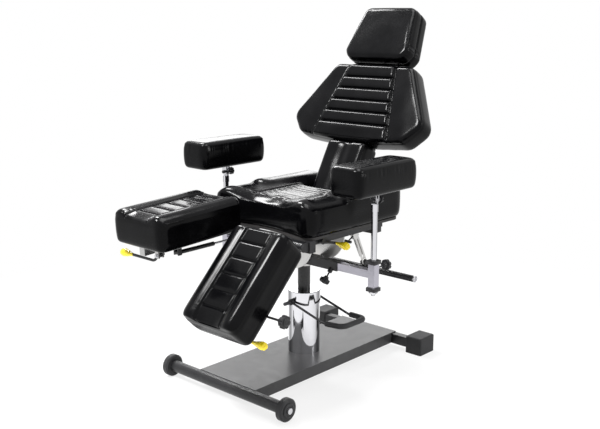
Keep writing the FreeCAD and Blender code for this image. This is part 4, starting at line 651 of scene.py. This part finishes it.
def make_socket_trim(word, side):
    """Black square collars at the two ends of the post's socket, and the open nut below it."""
    for end, z in SOCKET_ENDS:
        bpy.ops.mesh.primitive_cube_add(size=1, location=(side * ARM_X, ARM_Y, z), scale=COLLAR_SIZE)
        collar = bpy.context.active_object
        bpy.ops.object.transform_apply(location=True, rotation=True, scale=True)
        pick_faces(collar, lambda face: abs(face.normal.z) > 0.9)
        bpy.ops.mesh.inset(thickness=0.0030, depth=0.0010)
        bpy.ops.mesh.inset(thickness=0.0035, depth=-0.0004)
        end_fitting(collar, "socket_collar_" + end + "_" + word, KNOB_PLASTIC, "arm_slide_" + word,
                    0.0012)
    bpy.ops.mesh.primitive_cylinder_add(vertices=6, radius=POST_NUT_RADIUS, depth=POST_NUT_HEIGHT,
                                        location=(side * ARM_X, ARM_Y, POST_NUT_Z))
    nut = bpy.context.active_object
    bpy.ops.object.transform_apply(location=True, rotation=True, scale=True)
    pick_faces(nut, lambda face: abs(face.normal.z) > 0.9)
    bpy.ops.mesh.inset(thickness=0.0012, depth=0.0006)
    bpy.ops.mesh.inset(thickness=0.0018)
    bpy.ops.mesh.bridge_edge_loops()
    end_fitting(nut, "post_nut_" + word, CHROME, "arm_slide_" + word, 0.0003)


def make_bar_end(word, side):
    """Bright cut end of the round cross bar, with its open bore."""
    at = (side * CROSS_BAR_END, CROSS_BAR_Y, CROSS_BAR_Z)
    turned_fitting("bar_end_" + word, at, Vector((side, 0, 0)), CROSS_BAR_RADIUS, 0.0060,
                   [(0.0030, 0.0), (0.0006, -0.0045)], 40, STEEL, "swivel", 0.0003)


def make_knob_caps(word, side):
    """Caps on the faces of the four clamp knobs of one side."""
    turn = LEG_FRAME[word].to_3x3()
    out = turn @ Vector((side, 0, 0))
    knob_cap("leg_knob_cap_" + word, LEG_FRAME[word] @ Vector((side * 0.3504, -0.285, 0.012)), out, 0.023,
             "leg_knob_" + word)
    knob_cap("post_knob_cap_" + word, face_middle("post_knob_" + word, REARWARD), REARWARD, 0.020,
             "post_knob_" + word)
    knob_cap("clevis_knob_cap_" + word, face_middle("clevis_knob_" + word, REARWARD), REARWARD, 0.015,
             "clevis_knob_" + word)
    # the reach knob faces down and forward under the receiver, and its cap sits on its outermost point
    down_front = Vector((0, -1, -1)).normalized()
    base = Vector((side * RECEIVER_X, ARM_Y - REACH_KNOB_OUT, RECEIVER_Z - REACH_KNOB_OUT))
    reach = max((NODES["reach_knob_" + word].matrix_world @ v.co - base).dot(down_front)
                for v in NODES["reach_knob_" + word].data.vertices)
    knob_cap("reach_knob_cap_" + word, base + down_front * reach, down_front, 0.019, "reach_knob_" + word)


def make_leg_bolts(word, side):
    """Bolt ends of the lever's pin, on the ears at the foot end."""
    turn = LEG_FRAME[word].to_3x3()
    for end, along, way in LEVER_PIN_ENDS:
        hex_bolt("lever_bolt_" + end + "_" + word, LEG_FRAME[word] @ Vector((side * 0.085, along, 0.008)),
                 turn @ Vector((0, way, 0)), 0.011, "leg_slide_" + word)


def make_board_screws():
    """Screws that hold the back board, seen from behind."""
    out = BACK_UPRIGHT.to_3x3() @ Vector((0, 1, 0))
    for number, (across, up) in enumerate(BACK_SCREWS):
        for word, side in SIDES:
            at = BACK_UPRIGHT @ Vector((side * across, BACK_BOARD_REAR, up))
            pan_screw("back_screw_%d_%s" % (number, word), at, out, 0.0055, "back")


# Room, lamps and camera

NEAR_FLOOR = 0.80
FADE_FROM = 0.7
FADE_TO = 2.0
WORLD_LIGHT = 0.42

# Name, place, point that it faces, width, height and watts
LAMPS = (
    ("overhead", (0.4, 0.3, 3.2), (0, 0, 0.6), 1.6, 0.9, 42),
    ("back_bank", (-2.6, 2.9, 1.75), (0, 0, 0.7), 2.6, 0.9, 25),
    ("left_high", (-1.75, 0.42, 2.85), (0, 0.1, 0.7), 0.5, 1.1, 80),
    ("front_high", (-0.60, -2.05, 3.90), (0, -0.2, 0.6), 1.2, 0.9, 300),
    ("right_strip", (2.9, 1.2, 2.0), (0, 0, 0.6), 0.5, 1.6, 30),
)

# Fitted to the photograph's vanishing lines: metres, degrees and pixels
CAMERA_AT = (2.2613, -2.4935 + COLUMN_Y, 1.3585)
CAMERA_TURN = 42.473
CAMERA_DOWN = 12.472
FOCAL_PIXELS = 893.2
FRAME_WIDTH = 600
SENSOR_WIDTH = 36


def add_math(tree, operation, first, second):
    """A math node on two values, each a number or another node's output."""
    node = tree.nodes.new("ShaderNodeMath")
    node.operation = operation
    for socket, value in zip(node.inputs, (first, second)):
        if isinstance(value, (int, float)):
            socket.default_value = value
        else:
            tree.links.new(value, socket)
    return node.outputs[0]


def seen_rays(tree):
    """One for rays that are seen, straight or in shiny and clear things, nought for light on the chair."""
    rays = tree.nodes.new("ShaderNodeLightPath")
    shown = add_math(tree, "MAXIMUM", rays.outputs["Is Camera Ray"], rays.outputs["Is Glossy Ray"])
    return add_math(tree, "MAXIMUM", shown, rays.outputs["Is Transmission Ray"])


def make_floor():
    """White floor that keeps a soft shadow near the chair and fades to plain white further out."""
    bpy.ops.mesh.primitive_plane_add(size=16, location=(0, 0, 0))
    floor = bpy.context.active_object
    floor.name = "floor"
    finish, shader = new_finish("floor_paper", (0.85, 0.85, 0.85), 0.9, specular=0.0)
    tree = finish.node_tree
    glow = tree.nodes.new("ShaderNodeEmission")
    coords = tree.nodes.new("ShaderNodeTexCoord")
    length = tree.nodes.new("ShaderNodeVectorMath")
    length.operation = "LENGTH"
    tree.links.new(coords.outputs["Object"], length.inputs[0])
    spread = tree.nodes.new("ShaderNodeMapRange")
    spread.inputs["From Min"].default_value = FADE_FROM
    spread.inputs["From Max"].default_value = FADE_TO
    spread.inputs["To Min"].default_value = NEAR_FLOOR
    tree.links.new(length.outputs["Value"], spread.inputs["Value"])
    share = add_math(tree, "MULTIPLY", seen_rays(tree), spread.outputs["Result"])
    mix = tree.nodes.new("ShaderNodeMixShader")
    tree.links.new(share, mix.inputs["Fac"])
    tree.links.new(shader.outputs["BSDF"], mix.inputs[1])
    tree.links.new(glow.outputs["Emission"], mix.inputs[2])
    tree.links.new(mix.outputs["Shader"], tree.nodes["Material Output"].inputs["Surface"])
    floor.data.materials.append(finish)


def make_world():
    """Dim white light from all round, which is seen as plain white."""
    world = bpy.data.worlds.new("studio")
    bpy.context.scene.world = world
    world.use_nodes = True
    tree = world.node_tree
    light = tree.nodes["Background"]
    light.inputs["Color"].default_value = (1, 1, 1, 1)
    light.inputs["Strength"].default_value = WORLD_LIGHT
    seen = tree.nodes.new("ShaderNodeBackground")
    seen.inputs["Color"].default_value = (1, 1, 1, 1)
    seen.inputs["Strength"].default_value = 1.0
    mix = tree.nodes.new("ShaderNodeMixShader")
    tree.links.new(seen_rays(tree), mix.inputs["Fac"])
    tree.links.new(light.outputs[0], mix.inputs[1])
    tree.links.new(seen.outputs[0], mix.inputs[2])
    tree.links.new(mix.outputs[0], tree.nodes["World Output"].inputs["Surface"])


def add_softbox(name, at, toward, width, height, power):
    """Flat lamp that faces a point and isn't itself in view."""
    data = bpy.data.lights.new(name, "AREA")
    data.shape = "RECTANGLE"
    data.size = width
    data.size_y = height
    data.energy = power
    lamp = bpy.data.objects.new(name, data)
    bpy.context.scene.collection.objects.link(lamp)
    lamp.location = at
    lamp.rotation_mode = "QUATERNION"
    lamp.rotation_quaternion = (Vector(toward) - Vector(at)).to_track_quat("-Z", "Y")
    lamp.visible_camera = False


def make_camera():
    """Camera at the photograph's place and angle."""
    data = bpy.data.cameras.new("camera")
    data.sensor_width = SENSOR_WIDTH
    data.lens = FOCAL_PIXELS / FRAME_WIDTH * SENSOR_WIDTH
    camera = bpy.data.objects.new("camera", data)
    bpy.context.scene.collection.objects.link(camera)
    turn, down = math.radians(CAMERA_TURN), math.radians(CAMERA_DOWN)
    ahead = Vector((-math.sin(turn) * math.cos(down), math.cos(turn) * math.cos(down), -math.sin(down)))
    camera.location = CAMERA_AT
    camera.rotation_mode = "QUATERNION"
    camera.rotation_quaternion = ahead.to_track_quat("-Z", "Y")
    bpy.context.scene.camera = camera


dress_frame()
make_seat_pad()
make_back_pad()
make_lumbar_pad()
make_head_pad()
for word, side in SIDES:
    make_leg_pad(word, side)
    make_arm_pad(word, side)
for word, side in SIDES:
    make_wheel_trim(word, side)
    make_socket_trim(word, side)
    make_bar_end(word, side)
    make_knob_caps(word, side)
    make_leg_bolts(word, side)
make_board_screws()
make_floor()
make_world()
for lamp in LAMPS:
    add_softbox(*lamp)
make_camera()
bpy.context.scene.view_settings.view_transform = "Standard"
